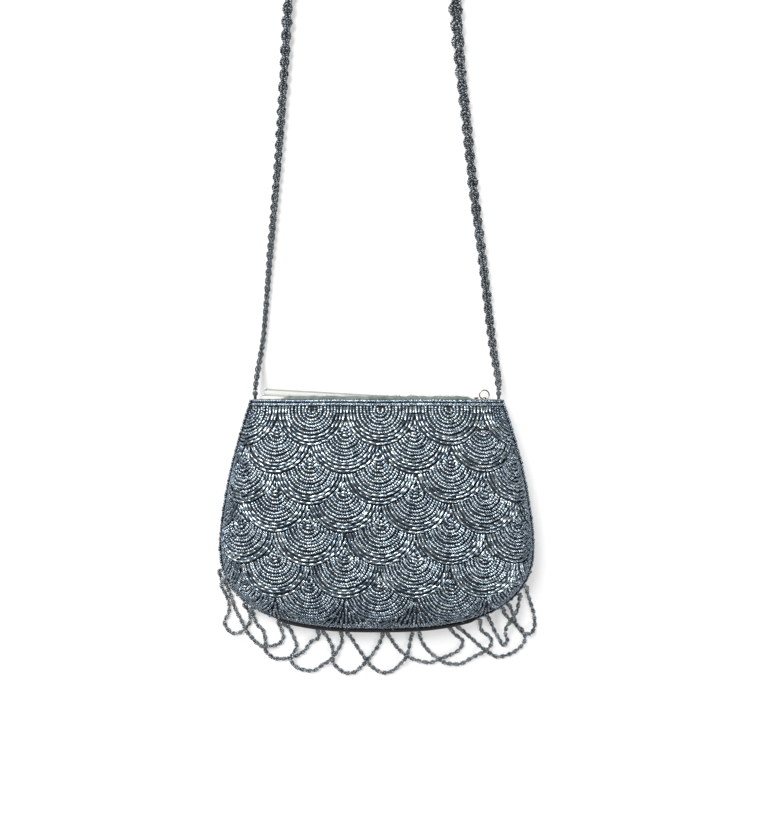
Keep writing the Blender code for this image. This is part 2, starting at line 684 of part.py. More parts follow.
def make_strap(collection):
    """The strap's rope as one tube along its route, thicker towards the middle of the strap."""
    rows = smooth_route([Vector(point) * MILLIMETRE for point in STRAP_ROUTE_MM], STRAP_POINTS)
    radii = [row.z for row in rows]
    length = sum((b.xy - a.xy).length for a, b in zip(rows, rows[1:]))
    points = []
    reach = 0.0
    for i, row in enumerate(rows):
        if i:
            reach += (row.xy - rows[i - 1].xy).length
        from_end = min(reach, length - reach)
        rest = row.z + CORD_LIFT
        z = mix(MOUTH_SEAM_HEIGHT, rest, smooth(from_end / STRAP_DROP_RUN))
        points.append((row.x, row.y, z))
    make_tube(collection, "strap_rope", points, radii, STRING_FINISH, 2)


def seam_places():
    """Places along the lower seam, as shares across and down the pouch."""
    shares = [i / SEAM_SAMPLES for i in range(SEAM_SAMPLES + 1)]
    side = [(1.0, mix(SEAM_SIDE_SHARE, 1.0, share)) for share in shares[:-1]]
    bottom = [(mix(-1.0, 1.0, share), 1.0) for share in shares]
    return side + bottom + [(-across, down) for across, down in side]


def sewn_end(point, places):
    """Where a string is sewn on outside the edge string, and a lead straight out from there."""
    seat_outset = -(2 * EDGE_STRING_RADIUS + 2 * SEAT_GAP)
    def distance(place):
        return (Vector(plan_point(*place, seat_outset)) - point).length
    place = min(places, key=distance)
    seat = Vector(plan_point(*place, seat_outset)).to_3d()
    lead = Vector(plan_point(*place, seat_outset - FRINGE_LEAD)).to_3d()
    return seat, lead


def fringe_points(route, hops):
    """A fringe loop in space: from the seam down to the surface, over its neighbours, and back up."""
    flat = [Vector(point) * MILLIMETRE for point in route]
    places = seam_places()
    first, last = sewn_end(flat[0], places), sewn_end(flat[-1], places)
    middle = [point.to_3d() for point in flat[1:-1]]
    rows = smooth_route([*first, *middle, *reversed(last)], FRINGE_POINTS)
    length = sum((b - a).length for a, b in zip(rows, rows[1:]))
    rest = FRINGE_RADIUS + CORD_LIFT
    points = []
    reach = 0.0
    for i, row in enumerate(rows):
        if i:
            reach += (row - rows[i - 1]).length
        z = mix(BODY_SEAM_HEIGHT, rest, smooth(min(reach, length - reach) / FRINGE_DROP_RUN))
        for x, y, strings in hops:
            away = (row.xy - Vector((x, y)) * MILLIMETRE).length / (FRINGE_HOP_RUN * strings)
            if away < 1.0:
                z = max(z, rest + FRINGE_HOP * strings * (1.0 + math.cos(math.pi * away)) / 2)
        points.append((row.x, row.y, z))
    return points


def make_fringe(collection):
    for number, (route, hops) in enumerate(FRINGE_LOOPS_MM, start=1):
        points = fringe_points(route, hops)
        radii = [FRINGE_RADIUS] * len(points)
        make_tube(collection, f"fringe_loop_{number:02d}", points, radii, STRING_FINISH, 1)


def build():
    for leftover in list(bpy.data.objects):
        bpy.data.objects.remove(leftover)
    collection = bpy.data.collections.new(OBJECT_NAME)
    cutters = bpy.data.collections.new("cutters")
    bpy.context.scene.collection.children.link(collection)
    bpy.context.scene.collection.children.link(cutters)
    make_pouch(collection)
    make_edge_string(collection)
    make_zip(collection)
    make_stops(collection)
    slider = make_slider(collection, cutters)
    make_ring(collection, slider)
    make_knots(collection)
    make_strap(collection)
    make_fringe(collection)


build()
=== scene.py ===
# %% [markdown]
# # A beaded evening bag
#
# The bag lies on its back, front face up, with its strap laid out beyond the mouth. Nearly everything
# that shows is glass: some twenty-five thousand beads, sewn on cloth or strung on thread. So this
# lesson is about putting one small thing in very many right places. Threads come first, as plain lines
# of places, and one Geometry Nodes tree then sets a bead on each place.

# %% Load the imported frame
import math

import bmesh
import bpy
import numpy as np
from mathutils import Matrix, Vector


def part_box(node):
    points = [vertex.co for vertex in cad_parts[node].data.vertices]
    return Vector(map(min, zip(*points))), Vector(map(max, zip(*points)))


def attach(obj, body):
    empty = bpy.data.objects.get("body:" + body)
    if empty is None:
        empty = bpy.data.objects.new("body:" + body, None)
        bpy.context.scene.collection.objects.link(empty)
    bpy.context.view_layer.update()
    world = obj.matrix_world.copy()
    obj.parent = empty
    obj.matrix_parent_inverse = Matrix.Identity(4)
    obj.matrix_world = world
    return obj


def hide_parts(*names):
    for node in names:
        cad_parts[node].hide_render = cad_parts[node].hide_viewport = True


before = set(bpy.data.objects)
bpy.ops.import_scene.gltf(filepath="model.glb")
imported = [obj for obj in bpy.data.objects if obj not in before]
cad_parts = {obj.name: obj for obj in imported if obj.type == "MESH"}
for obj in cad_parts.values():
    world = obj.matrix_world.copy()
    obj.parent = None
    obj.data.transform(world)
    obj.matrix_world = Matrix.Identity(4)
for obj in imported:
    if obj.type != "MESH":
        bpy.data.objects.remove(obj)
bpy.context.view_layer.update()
MM = 0.001


def add_object(name, data):
    """A new object in the scene."""
    made = bpy.data.objects.new(name, data)
    bpy.context.scene.collection.objects.link(made)
    return made


# %% [markdown]
# ## Camera
#
# The photograph looks straight down. Its middle lies over a place beside the bag's own middle, so the
# camera stands over that place. The lens follows from how much of the surface one picture's width takes
# in at a known height above it.

# %% Place the camera
PICTURE_WIDTH_PX = 772
CAMERA_HEIGHT = 450 * MM
CAMERA_X = 5.9 * MM
CAMERA_Y = 60.1 * MM
SEAM_LEVEL = 13 * MM
PIXEL_AT_SEAM = 0.64 * MM
SENSOR_MM = 36.0

camera_data = bpy.data.cameras.new("photo_camera")
camera_data.sensor_fit = "HORIZONTAL"
camera_data.sensor_width = SENSOR_MM
camera_data.lens = SENSOR_MM * (CAMERA_HEIGHT - SEAM_LEVEL) / (PICTURE_WIDTH_PX * PIXEL_AT_SEAM)
camera_data.clip_start = 10 * MM
camera = add_object("photo_camera", camera_data)
camera.location = (CAMERA_X, CAMERA_Y, CAMERA_HEIGHT)
bpy.context.scene.camera = camera
print("lens:", round(camera_data.lens, 2), "mm")

# %% [markdown]
# ## Floor and light
#
# The photograph was taken on white paper, in soft light from the upper left. Threads that run across
# that light are bright and threads that run along it are dark, so one large lamp stands there, a weak
# one fills in from the lower right, and the surround is dim. The paper adds a little light of its own
# towards the camera and in reflections, so that it comes out white and still shows the bag's shadow.

# %% Tools for node trees
def fill(tree, socket, value):
    """Sets an input to a value, or links another node's output to it."""
    if isinstance(value, bpy.types.NodeSocket):
        tree.links.new(value, socket)
    else:
        socket.default_value = value


def add_node(tree, kind, **settings):
    """A new node. A setting named after one of its inputs fills it, any other is a property."""
    node = tree.nodes.new(kind)
    for key, value in settings.items():
        label = key.replace("_", " ")
        if label in node.inputs:
            fill(tree, node.inputs[label], value)
        else:
            setattr(node, key, value)
    return node


def math_node(tree, operation, *values):
    """The result of one sum, whose values are numbers or other nodes' outputs."""
    node = add_node(tree, "ShaderNodeMath", operation=operation)
    for socket, value in zip(node.inputs, values):
        fill(tree, socket, value)
    return node.outputs[0]


# %% Lay the paper and set the lamps
FLOOR_SIZE = 6.0
FLOOR_DROP = 0.2 * MM
FLOOR_COLOUR = (0.58, 0.58, 0.58, 1.0)
FLOOR_GLOW = 0.42
SURROUND_STRENGTH = 0.16
KEY_SIZE = 1.05
KEY_POWER = 34.5
KEY_PLACE = (-0.65, 0.85, 1.20)
FILL_SIZE = 0.5
FILL_POWER = 6.0
FILL_PLACE = (0.75, -0.62, 0.8)
LAMP_AIM = Vector((0.0, 0.02, 0.02))


def add_lamp(name, place, size, power):
    lamp = bpy.data.lights.new(name, "AREA")
    lamp.shape = "DISK"
    lamp.size = size
    lamp.energy = power
    holder = add_object(name, lamp)
    holder.location = place
    holder.rotation_euler = (LAMP_AIM - Vector(place)).to_track_quat("-Z", "Y").to_euler()


def paper_material():
    """Matt paper that glows a little for the rays that show it."""
    material = bpy.data.materials.new("white_paper")
    material.use_nodes = True
    tree = material.node_tree
    tree.nodes.clear()
    ray = add_node(tree, "ShaderNodeLightPath").outputs
    seen = math_node(tree, "ADD", ray["Is Camera Ray"], ray["Is Glossy Ray"])
    seen = math_node(tree, "ADD", seen, ray["Is Transmission Ray"])
    seen.node.use_clamp = True
    matt = add_node(tree, "ShaderNodeBsdfDiffuse", Color=FLOOR_COLOUR)
    level = math_node(tree, "MULTIPLY", seen, FLOOR_GLOW)
    glow = add_node(tree, "ShaderNodeEmission", Strength=level)
    both = add_node(tree, "ShaderNodeAddShader")
    for socket, part in zip(both.inputs, (matt, glow)):
        tree.links.new(part.outputs[0], socket)
    add_node(tree, "ShaderNodeOutputMaterial", Surface=both.outputs[0])
    return material


bpy.ops.mesh.primitive_plane_add(size=FLOOR_SIZE, location=(0.0, 0.0, -FLOOR_DROP))
paper = bpy.context.active_object
paper.name = "paper"
paper.data.materials.append(paper_material())
add_lamp("key_lamp", KEY_PLACE, KEY_SIZE, KEY_POWER)
add_lamp("fill_lamp", FILL_PLACE, FILL_SIZE, FILL_POWER)
surround = bpy.data.worlds.new("surround")
surround.use_nodes = True
sky = surround.node_tree.nodes["Background"].inputs
sky["Color"].default_value = (1.0, 1.0, 1.0, 1.0)
sky["Strength"].default_value = SURROUND_STRENGTH
bpy.context.scene.world = surround
bpy.context.scene.view_settings.view_transform = "Standard"
print("lamps:", [lamp.name for lamp in bpy.data.lights])

# %% [markdown]
# ## The pouch as a formula
#
# Every layer of the bag, from the beads in to the lining, follows one surface. Its plan is a flared top
# over a rounded bottom, and both faces swell from the seam. Two shares name a place on a face: across,
# from -1 at the left edge to 1 at the right, and down, from 0 at the mouth to 1 at the seam. The
# pouch could be modelled by hand as a mesh instead, but then each layer would need its own.

# %% Shape of the outline and of the swell
POUCH_HALF_WIDTH = 99.5 * MM
MOUTH_HALF_WIDTH = 80.5 * MM
MOUTH_REACH = 70.7 * MM
BOTTOM_REACH = 75.8 * MM
WIDEST_DROP = 21.2 * MM
FLARE_POWER = 1.5
CURVE_POWER = 2.5
CURVE_ROOT = 0.38
CORNER_SHARE = 0.684
ROW_BOW_POWER = 3.0
MOUTH_SEAM_HEIGHT = 8.0 * MM
BODY_SEAM_HEIGHT = 13.0 * MM
MOUTH_SWELL = {"front": 9.0 * MM, "back": 22.0 * MM}
BODY_SWELL = {"front": 23.0 * MM, "back": 26.0 * MM}
SHOULDER_SHARE = 0.45
SHOULDER_POWER = 1.8
SIDE_POWER = 4.0
BOTTOM_POWER = 8.0
SEAT_GAP = 0.3 * MM
INVERSE_ROUNDS = 20
TINY = 1e-9


def mix(low, high, share):
    return low + (high - low) * share


def smooth(share):
    share = np.clip(share, 0.0, 1.0)
    return share * share * (3.0 - 2.0 * share)


def unit(rows):
    return rows / np.maximum(np.linalg.norm(rows, axis=-1, keepdims=True), TINY)


# %% The outline's plan
def corner_y(inset):
    """Height at which the side of the outline hands over to the bottom curve."""
    return -mix(WIDEST_DROP, BOTTOM_REACH - inset, CORNER_SHARE)


def share_down(y, inset=0.0):
    """Where a height lies between the mouth, 0, and the outline's lower corners, 1."""
    return (MOUTH_REACH - y) / (MOUTH_REACH - corner_y(inset))


def side_width(y, inset):
    """Half-width of the outline at a height."""
    widest = POUCH_HALF_WIDTH - inset
    above = np.clip((y + WIDEST_DROP) / (MOUTH_REACH + WIDEST_DROP), 0.0, None)
    below = np.clip((-WIDEST_DROP - y) / (BOTTOM_REACH - inset - WIDEST_DROP), 0.0, 1.0)
    flared = widest - (POUCH_HALF_WIDTH - MOUTH_HALF_WIDTH) * above ** FLARE_POWER
    rounded = widest * (1.0 - below ** CURVE_POWER) ** CURVE_ROOT
    return np.where(y > -WIDEST_DROP, flared, rounded)


def bottom_y(x, inset):
    """Height of the bottom curve at a distance from the middle."""
    share = np.clip(np.abs(x) / (POUCH_HALF_WIDTH - inset), 0.0, 1.0)
    drop = (1.0 - share ** (1.0 / CURVE_ROOT)) ** (1.0 / CURVE_POWER)
    return -mix(WIDEST_DROP, BOTTOM_REACH - inset, drop)


def plan_point(across, down, inset):
    low = corner_y(inset)
    side_y = mix(MOUTH_REACH, low, down)
    bow = bottom_y(across * side_width(low, inset), inset) - low
    y = side_y + bow * np.clip(down, 0.0, None) ** ROW_BOW_POWER
    return across * side_width(side_y, inset), y


def plan_shares(x, y, inset):
    """The way back: the shares of a place on the plan, found in a few rounds."""
    low = corner_y(inset)
    corner_x = side_width(low, inset)
    down = share_down(y, inset)
    for _ in range(INVERSE_ROUNDS):
        across = np.clip(x / side_width(mix(MOUTH_REACH, low, down), inset), -1.0, 1.0)
        bow = (bottom_y(across * corner_x, inset) - low) * np.clip(down, 0.0, 1.0) ** ROW_BOW_POWER
        down = (MOUTH_REACH - y + bow) / (MOUTH_REACH - low)
    return across, np.clip(down, 0.0, 1.0)


# %% The two swelling faces
def shoulder_ease(down):
    """How much of the full depth is reached: it grows at once from the mouth, then levels out."""
    return 1.0 - (1.0 - np.clip(down / SHOULDER_SHARE, 0.0, 1.0)) ** SHOULDER_POWER


def seam_height(down):
    return mix(MOUTH_SEAM_HEIGHT, BODY_SEAM_HEIGHT, shoulder_ease(down))


def face_point(face, across, down, inset, sunk=0.0):
    """Places on a face, an inset under its outer bead surface, as rows of x, y and z. What is sunk
    for relief as well is pressed level on the back, where the bag rests on it."""
    across, down = np.broadcast_arrays(np.asarray(across, float), np.asarray(down, float))
    x, y = plan_point(across, down, inset + sunk)
    fall = np.sqrt(np.clip(1.0 - np.abs(across) ** SIDE_POWER, 0.0, None))
    fall = fall * np.sqrt(np.clip(1.0 - np.abs(down) ** BOTTOM_POWER, 0.0, None))
    swell = mix(MOUTH_SWELL[face], BODY_SWELL[face], shoulder_ease(down)) - inset - sunk
    if face == "front":
        z = seam_height(down) + SEAT_GAP / 2 + swell * fall
    else:
        z = np.maximum(inset, seam_height(down) - SEAT_GAP / 2 - swell * fall)
    return np.stack([x, y, z], axis=-1)


print("face height at the middle:", round(float(face_point("front", 0.0, 0.5, 0.0)[2]) / MM, 1), "mm")

# %% [markdown]
# ## From the flat pattern to the filled pouch
#
# The pattern of scales is drawn flat, as it looks from above, and then laid on the pouch. At the sides
# and the bottom the face rolls over to the seam, so each place near the edge walks that far along the
# roll. Projecting the pattern straight down would be simpler, but it would stretch the gaps between
# beads all round the rim.

# %% Bend over the rim
RIM_WIDTH = 14 * MM
RIM_STEPS = 44
OUTLINE_STEPS = 160


def shares_round(side, bottom):
    """Shares across and down along the seam, from the left mouth corner round to the right one."""
    across = np.concatenate([np.full_like(side, -1.0), bottom[1:-1], np.full_like(side, 1.0)])
    down = np.concatenate([side, np.ones_like(bottom)[1:-1], side[::-1]])
    return across, down


def outline_places():
    """The outline from one mouth corner round to the other, with the way straight out from it."""
    side = np.linspace(0.0, 1.0, OUTLINE_STEPS)
    bottom = np.linspace(-1.0, 1.0, 2 * OUTLINE_STEPS)
    line = np.stack(plan_point(*shares_round(side, bottom), 0.0), axis=-1)
    along = unit(np.gradient(line, axis=0))
    return line, np.stack([along[:, 1], -along[:, 0]], axis=-1)


OUTLINE, OUTWARD = outline_places()


def over_rim(face, plan):
    """Moves places near the outline inwards, to where the cloth really lies on the rolled rim."""
    apart = np.linalg.norm(plan[:, None, :] - OUTLINE[None, :, :], axis=2)
    nearest = apart.argmin(axis=1)
    out = OUTWARD[nearest]
    inside = -np.sum((plan - OUTLINE[nearest]) * out, axis=1)
    moved, on_cloth = plan.copy(), np.ones(len(plan), bool)
    rim = np.flatnonzero(inside < RIM_WIDTH)
    if len(rim) == 0:
        return moved, on_cloth
    steps = np.linspace(0.0, RIM_WIDTH, RIM_STEPS)
    start = OUTLINE[nearest[rim]] - out[rim] * RIM_WIDTH
    walk = start[:, None, :] + out[rim][:, None, :] * steps[None, :, None]
    across, down = plan_shares(walk[..., 0], walk[..., 1], 0.0)
    z = face_point(face, across, down, 0.0)[..., 2]
    walked = np.cumsum(np.hypot(np.diff(steps)[None, :], np.diff(z, axis=1)), axis=1)
    walked = np.concatenate([np.zeros((len(rim), 1)), walked], axis=1)
    wanted = RIM_WIDTH - inside[rim]
    on_cloth[rim] = wanted < walked[:, -1]
    for i, place in enumerate(rim):
        moved[place] = start[i] + out[place] * np.interp(wanted[i], walked[i], steps)
    return moved, on_cloth


# %% From a place on the pattern to a place, a facing and a yes or no
SHARE_STEP = 0.004


def face_way(face, across, down):
    """Which way the cloth of a face looks at places on it."""
    left = face_point(face, np.maximum(across - SHARE_STEP, -1.0), down, 0.0)
    right = face_point(face, np.minimum(across + SHARE_STEP, 1.0), down, 0.0)
    above = face_point(face, across, np.maximum(down - SHARE_STEP, 0.0), 0.0)
    below = face_point(face, across, np.minimum(down + SHARE_STEP, 1.0), 0.0)
    facing = unit(np.cross(right - left, above - below))
    return -facing if face == "back" else facing


def on_face(face, flat, inset, sunk=0.0):
    """Where places of the flat pattern lie, which way the cloth faces there, and if they are on it."""
    plan, on_cloth = over_rim(face, flat)
    across, down = plan_shares(plan[:, 0], plan[:, 1], 0.0)
    return face_point(face, across, down, inset, sunk), face_way(face, across, down), on_cloth


# %% [markdown]
# ## Beads by Geometry Nodes
#
# A seed bead is a short barrel of glass, and a bugle bead a long one. Both are a few rings of points,
# so the tree below starts from a cylinder and narrows its ends. It puts one on each given place, with
# the hole along the thread and one side to the cloth. It varies the size, lean and tint a little, as
# glass beads do. A particle system could scatter beads, but it can't lay them in rows.

# %% Tools for geometry trees
def new_tree(name, inputs):
    """A tree from geometry to geometry, and the outputs that hand its inputs in."""
    tree = bpy.data.node_groups.new(name, "GeometryNodeTree")
    for label, kind in [("Geometry", "Geometry"), *inputs]:
        tree.interface.new_socket(label, in_out="INPUT", socket_type="NodeSocket" + kind)
    tree.interface.new_socket("Geometry", in_out="OUTPUT", socket_type="NodeSocketGeometry")
    return tree, tree.nodes.new("NodeGroupInput").outputs


def end_tree(tree, given, shape):
    """Makes the shape plain, smooth and finished, and hands it out."""
    real = add_node(tree, "GeometryNodeRealizeInstances", Geometry=shape.outputs[0])
    even = add_node(tree, "GeometryNodeSetShadeSmooth", Geometry=real.outputs[0])
    finish = add_node(tree, "GeometryNodeSetMaterial", Geometry=even.outputs[0],
                      Material=given["Finish"])
    add_node(tree, "NodeGroupOutput", Geometry=finish.outputs[0])
    return tree


def named_field(tree, name, kind="FLOAT"):
    node = add_node(tree, "GeometryNodeInputNamedAttribute", data_type=kind, Name=name)
    return node.outputs["Attribute"]


def random_field(tree, low, high, seed):
    """A random number for each place, between two values or sockets."""
    node = add_node(tree, "FunctionNodeRandomValue", Seed=seed)
    limits = [socket for socket in node.inputs if socket.enabled]
    for socket, value in zip(limits, (low, high)):
        fill(tree, socket, value)
    return [socket for socket in node.outputs if socket.enabled][0]


# %% The barrel inside the tree
END_LEVEL = 0.4


def barrel_nodes(tree, given):
    """A barrel one unit long and one wide, with its hole along Z: a cylinder with narrowed ends."""
    cylinder = add_node(tree, "GeometryNodeMeshCylinder", Radius=0.5, Depth=1.0,
                        Vertices=given["Sides"], Side_Segments=given["Bands"])
    place = add_node(tree, "GeometryNodeInputPosition").outputs[0]
    parts = add_node(tree, "ShaderNodeSeparateXYZ", Vector=place).outputs
    height = math_node(tree, "ABSOLUTE", parts["Z"])
    at_end = math_node(tree, "GREATER_THAN", height, END_LEVEL)
    narrowing = math_node(tree, "SUBTRACT", 1.0, given["End Share"])
    width = math_node(tree, "SUBTRACT", 1.0, math_node(tree, "MULTIPLY", at_end, narrowing))
    side = math_node(tree, "SIGN", parts["Z"])
    end_height = math_node(tree, "MULTIPLY", at_end, 0.5)
    at_shoulder = math_node(tree, "SUBTRACT", 1.0, at_end)
    inner = math_node(tree, "MULTIPLY", at_shoulder, given["Shoulder"])
    level = math_node(tree, "MULTIPLY", side, math_node(tree, "ADD", end_height, inner))
    whole = add_node(tree, "ShaderNodeCombineXYZ", X=math_node(tree, "MULTIPLY", parts["X"], width),
                     Y=math_node(tree, "MULTIPLY", parts["Y"], width), Z=level)
    return add_node(tree, "GeometryNodeSetPosition", Geometry=cylinder.outputs["Mesh"],
                    Position=whole.outputs[0]).outputs[0]


# %% The tree that sets the beads
BEAD_INPUTS = [("Sides", "Int"), ("Bands", "Int"), ("End Share", "Float"), ("Shoulder", "Float"),
               ("Size Spread", "Float"), ("Lean", "Float"), ("Seed", "Int"), ("Finish", "Material")]


def bead_tree():
    """One barrel on each place, along its thread, with a random size, lean and tint."""
    tree, given = new_tree("beads_on_places", BEAD_INPUTS)
    seeds = [math_node(tree, "ADD", given["Seed"], step) for step in range(5)]
    less = math_node(tree, "SUBTRACT", 1.0, given["Size Spread"])
    more = math_node(tree, "ADD", 1.0, given["Size Spread"])
    girth = math_node(tree, "MULTIPLY", named_field(tree, "girth"),
                      random_field(tree, less, more, seeds[0]))
    size = add_node(tree, "ShaderNodeCombineXYZ", X=girth, Y=girth, Z=named_field(tree, "span"))
    back = math_node(tree, "MULTIPLY", given["Lean"], -1.0)
    angles = add_node(tree, "ShaderNodeCombineXYZ",
                      X=random_field(tree, back, given["Lean"], seeds[1]),
                      Y=random_field(tree, back, given["Lean"], seeds[2]),
                      Z=random_field(tree, 0.0, math.tau, seeds[3]))
    tip = add_node(tree, "FunctionNodeEulerToRotation", Euler=angles.outputs[0])
    turn = add_node(tree, "FunctionNodeAxesToRotation", primary_axis="Z", secondary_axis="X",
                    Primary_Axis=named_field(tree, "thread", "FLOAT_VECTOR"),
                    Secondary_Axis=named_field(tree, "facing", "FLOAT_VECTOR"))
    lean = add_node(tree, "FunctionNodeRotateRotation", rotation_space="LOCAL",
                    Rotation=turn.outputs[0], Rotate_By=tip.outputs[0])
    stand = add_node(tree, "GeometryNodeInstanceOnPoints", Points=given["Geometry"],
                     Instance=barrel_nodes(tree, given), Rotation=lean.outputs[0],
                     Scale=size.outputs[0])
    tint = add_node(tree, "GeometryNodeStoreNamedAttribute", data_type="FLOAT", domain="INSTANCE",
                    Geometry=stand.outputs[0], Name="tint",
                    Value=random_field(tree, 0.0, 1.0, seeds[4]))
    return end_tree(tree, given, tint)


BEAD_TREE = bead_tree()
print("tree:", BEAD_TREE.name, "with", len(BEAD_TREE.nodes), "nodes")

# %% Places for beads, and the pieces made from them
SEED_SHAPE = {"Sides": 8, "Bands": 3, "End Share": 0.70, "Shoulder": 0.30}
BACK_SEED_SHAPE = {"Sides": 6, "Bands": 3, "End Share": 0.70, "Shoulder": 0.30}
STRUNG_SHAPE = {"Sides": 6, "Bands": 2, "End Share": 0.55, "Shoulder": 0.0}
BUGLE_SHAPE = {"Sides": 8, "Bands": 3, "End Share": 0.84, "Shoulder": 0.46}


def bead_places(places, thread, facing, span, girth, tone):
    """A table of beads: where each is, its thread's way, its cloth's facing, its size and its tone."""
    count = len(places)
    return {"places": np.asarray(places, float).reshape(-1, 3), "thread": unit(thread),
            "facing": unit(facing), "span": np.broadcast_to(span, count),
            "girth": np.broadcast_to(girth, count), "tone": np.broadcast_to(tone, count)}


def gather(tables):
    return {key: np.concatenate([table[key] for table in tables]) for key in tables[0]}


def chosen(table, mask):
    return {key: rows[mask] for key, rows in table.items()}


def add_piece(name, data, body, node=None):
    """A mesh as a piece: on a body, and in the place of a node of the frame."""
    piece = add_object(name, data)
    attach(piece, body)
    if node:
        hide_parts(node)
    return piece


def grown(name, places, tree, settings, body, node=None):
    """The piece that a tree makes on a mesh of places."""
    helper = add_object(name + "_places", places)
    modifier = helper.modifiers.new("Tree", "NODES")
    modifier.node_group = tree
    for item in tree.interface.items_tree:
        if item.in_out == "INPUT" and item.name in settings:
            modifier[item.identifier] = settings[item.name]
    view = bpy.context.evaluated_depsgraph_get()
    data = bpy.data.meshes.new_from_object(helper.evaluated_get(view),
                                           preserve_all_data_layers=True, depsgraph=view)
    bpy.data.objects.remove(helper)
    data.name = name
    print(name + ":", len(places.vertices), "places,", len(data.polygons), "faces")
    return add_piece(name, data, body, node)


def set_beads(name, table, shape, finish, body, node, spread=0.06, lean=0.08, seed=1):
    """One piece with a bead on every place of a table."""
    points = bpy.data.meshes.new(name + "_places")
    points.from_pydata(table["places"].tolist(), [], [])
    for key in ("thread", "facing"):
        layer = points.attributes.new(key, "FLOAT_VECTOR", "POINT")
        layer.data.foreach_set("vector", table[key].astype(np.float32).ravel())
    for key in ("span", "girth", "tone"):
        layer = points.attributes.new(key, "FLOAT", "POINT")
        layer.data.foreach_set("value", table[key].astype(np.float32))
    settings = {**shape, "Size Spread": spread, "Lean": lean, "Seed": seed, "Finish": finish}
    piece = grown(name, points, BEAD_TREE, settings, body, node)
    for key in ("thread", "facing", "span", "girth"):
        piece.data.attributes.remove(piece.data.attributes[key])
    return piece


# %% [markdown]
# ## Spacing beads on a thread
#
# A thread is a line of points. Beads sit on it end to end, so the line is cut into as many equal spans
# as beads fit. Where a rope gets thicker its beads do too, so each point also says how large the beads
# are there, and the line is measured in beads rather than in millimetres.

# %% Cut a thread into spans
LEAST_SPAN_SHARE = 0.55


def spaced(line, bead_length):
    """Middles, ways and spans of the beads on a line; bead_length is one value or one a point."""
    steps = np.linalg.norm(np.diff(line, axis=0), axis=1)
    local = np.broadcast_to(bead_length, len(line))
    local = (local[1:] + local[:-1]) / 2
    beads = np.concatenate([[0.0], np.cumsum(steps / local)])
    if beads[-1] < LEAST_SPAN_SHARE:
        return np.zeros((0, line.shape[1])), np.zeros((0, line.shape[1])), np.zeros(0)
    count = max(1, round(beads[-1]))
    edges = np.linspace(0.0, beads[-1], count + 1)
    marks = (edges[1:] + edges[:-1]) / 2
    ends = np.stack([np.interp(edges, beads, line[:, i]) for i in range(line.shape[1])], axis=-1)
    middles = np.stack([np.interp(marks, beads, line[:, i]) for i in range(line.shape[1])], axis=-1)
    ways = ends[1:] - ends[:-1]
    return middles, ways, np.linalg.norm(ways, axis=1)


# %% [markdown]
# ## Finishes
#
# Steel-grey glass beads have a thin metal lining, so they act like dark mirrors with a clear coat.
# Each bead has its own tint, read from the number that the tree stored on it, and a tone that says how
# dark it is; near the bottom rim and the sides that tone holds painted shade. Cloth, satin and tape get
# a weave from fine crossed waves, at the scale of real threads, and soft patches of wear.

# %% Tools for finishes
def ramp_colour(tree, value, stops):
    """A colour for each level of a value, from a list of levels and linear colours."""
    ramp = add_node(tree, "ShaderNodeValToRGB", Fac=value)
    marks = ramp.color_ramp.elements
    while len(marks) < len(stops):
        marks.new(1.0)
    for mark, (level, colour) in zip(marks, stops):
        mark.position = level
        mark.color = (*colour, 1.0)
    return ramp.outputs["Color"]


def noise_value(tree, scale, detail=3.0):
    places = add_node(tree, "ShaderNodeTexCoord").outputs["Object"]
    noise = add_node(tree, "ShaderNodeTexNoise", Scale=scale, Detail=detail, Vector=places)
    return noise.outputs["Fac"]


def attribute_value(tree, name):
    return add_node(tree, "ShaderNodeAttribute", attribute_name=name).outputs["Fac"]


def new_finish(name, **sockets):
    """A Principled material; each setting fills the shader's socket of that name."""
    material = bpy.data.materials.new(name)
    material.use_nodes = True
    tree = material.node_tree
    shader = tree.nodes["Principled BSDF"].inputs
    for key, value in sockets.items():
        shader[key.replace("_", " ")].default_value = value
    return material, tree, shader


def show_levels(tree, shader, level, stops, patches, roughness):
    """Colour from a level, and roughness between two values from patches."""
    polish = add_node(tree, "ShaderNodeMapRange", To_Min=roughness[0], To_Max=roughness[1],
                      Value=patches)
    fill(tree, shader["Base Color"], ramp_colour(tree, level, stops))
    fill(tree, shader["Roughness"], polish.outputs["Result"])


def bump(tree, shader, height, distance):
    node = add_node(tree, "ShaderNodeBump", Distance=distance, Strength=1.0, Height=height)
    fill(tree, shader["Normal"], node.outputs[0])


# %% Bead glass
TINT_SHARE = 0.75
POLISH_SCALE = 900.0
STEEL_STOPS = [(0.00, (0.120, 0.160, 0.205)), (0.30, (0.320, 0.395, 0.455)),
               (0.62, (0.580, 0.675, 0.735)), (0.86, (0.810, 0.885, 0.920)),
               (1.00, (0.950, 0.980, 0.990))]
ROPE_STOPS = [(0.00, (0.045, 0.053, 0.062)), (0.40, (0.130, 0.152, 0.170)),
              (0.80, (0.270, 0.305, 0.330)), (1.00, (0.520, 0.560, 0.580))]


def bead_finish(name, stops, metallic, roughness):
    """Lined glass: its own tint for every bead, some beads clearer and some duller."""
    material, tree, shader = new_finish(name, Metallic=metallic, Coat_Weight=0.55,
                                        Coat_Roughness=0.06, IOR=1.52)
    # The tone holds painted shade near the bottom rim and the sides.
    level = math_node(tree, "MULTIPLY_ADD", attribute_value(tree, "tint"), TINT_SHARE,
                      attribute_value(tree, "tone"))
    show_levels(tree, shader, level, stops, noise_value(tree, POLISH_SCALE), roughness)
    return material


STEEL_BEADS = bead_finish("steel_glass_beads", STEEL_STOPS, 0.85, (0.16, 0.36))
ROPE_BEADS = bead_finish("rope_glass_beads", ROPE_STOPS, 0.70, (0.18, 0.38))

# %% Woven finishes
CLOTH_LEVELS = (0.2, 0.8)
WEAVE_SHARE = 0.45
PATCH_SHARE = 0.6
WAVE_WARP = 1.2
WAVE_DETAIL = 0.4


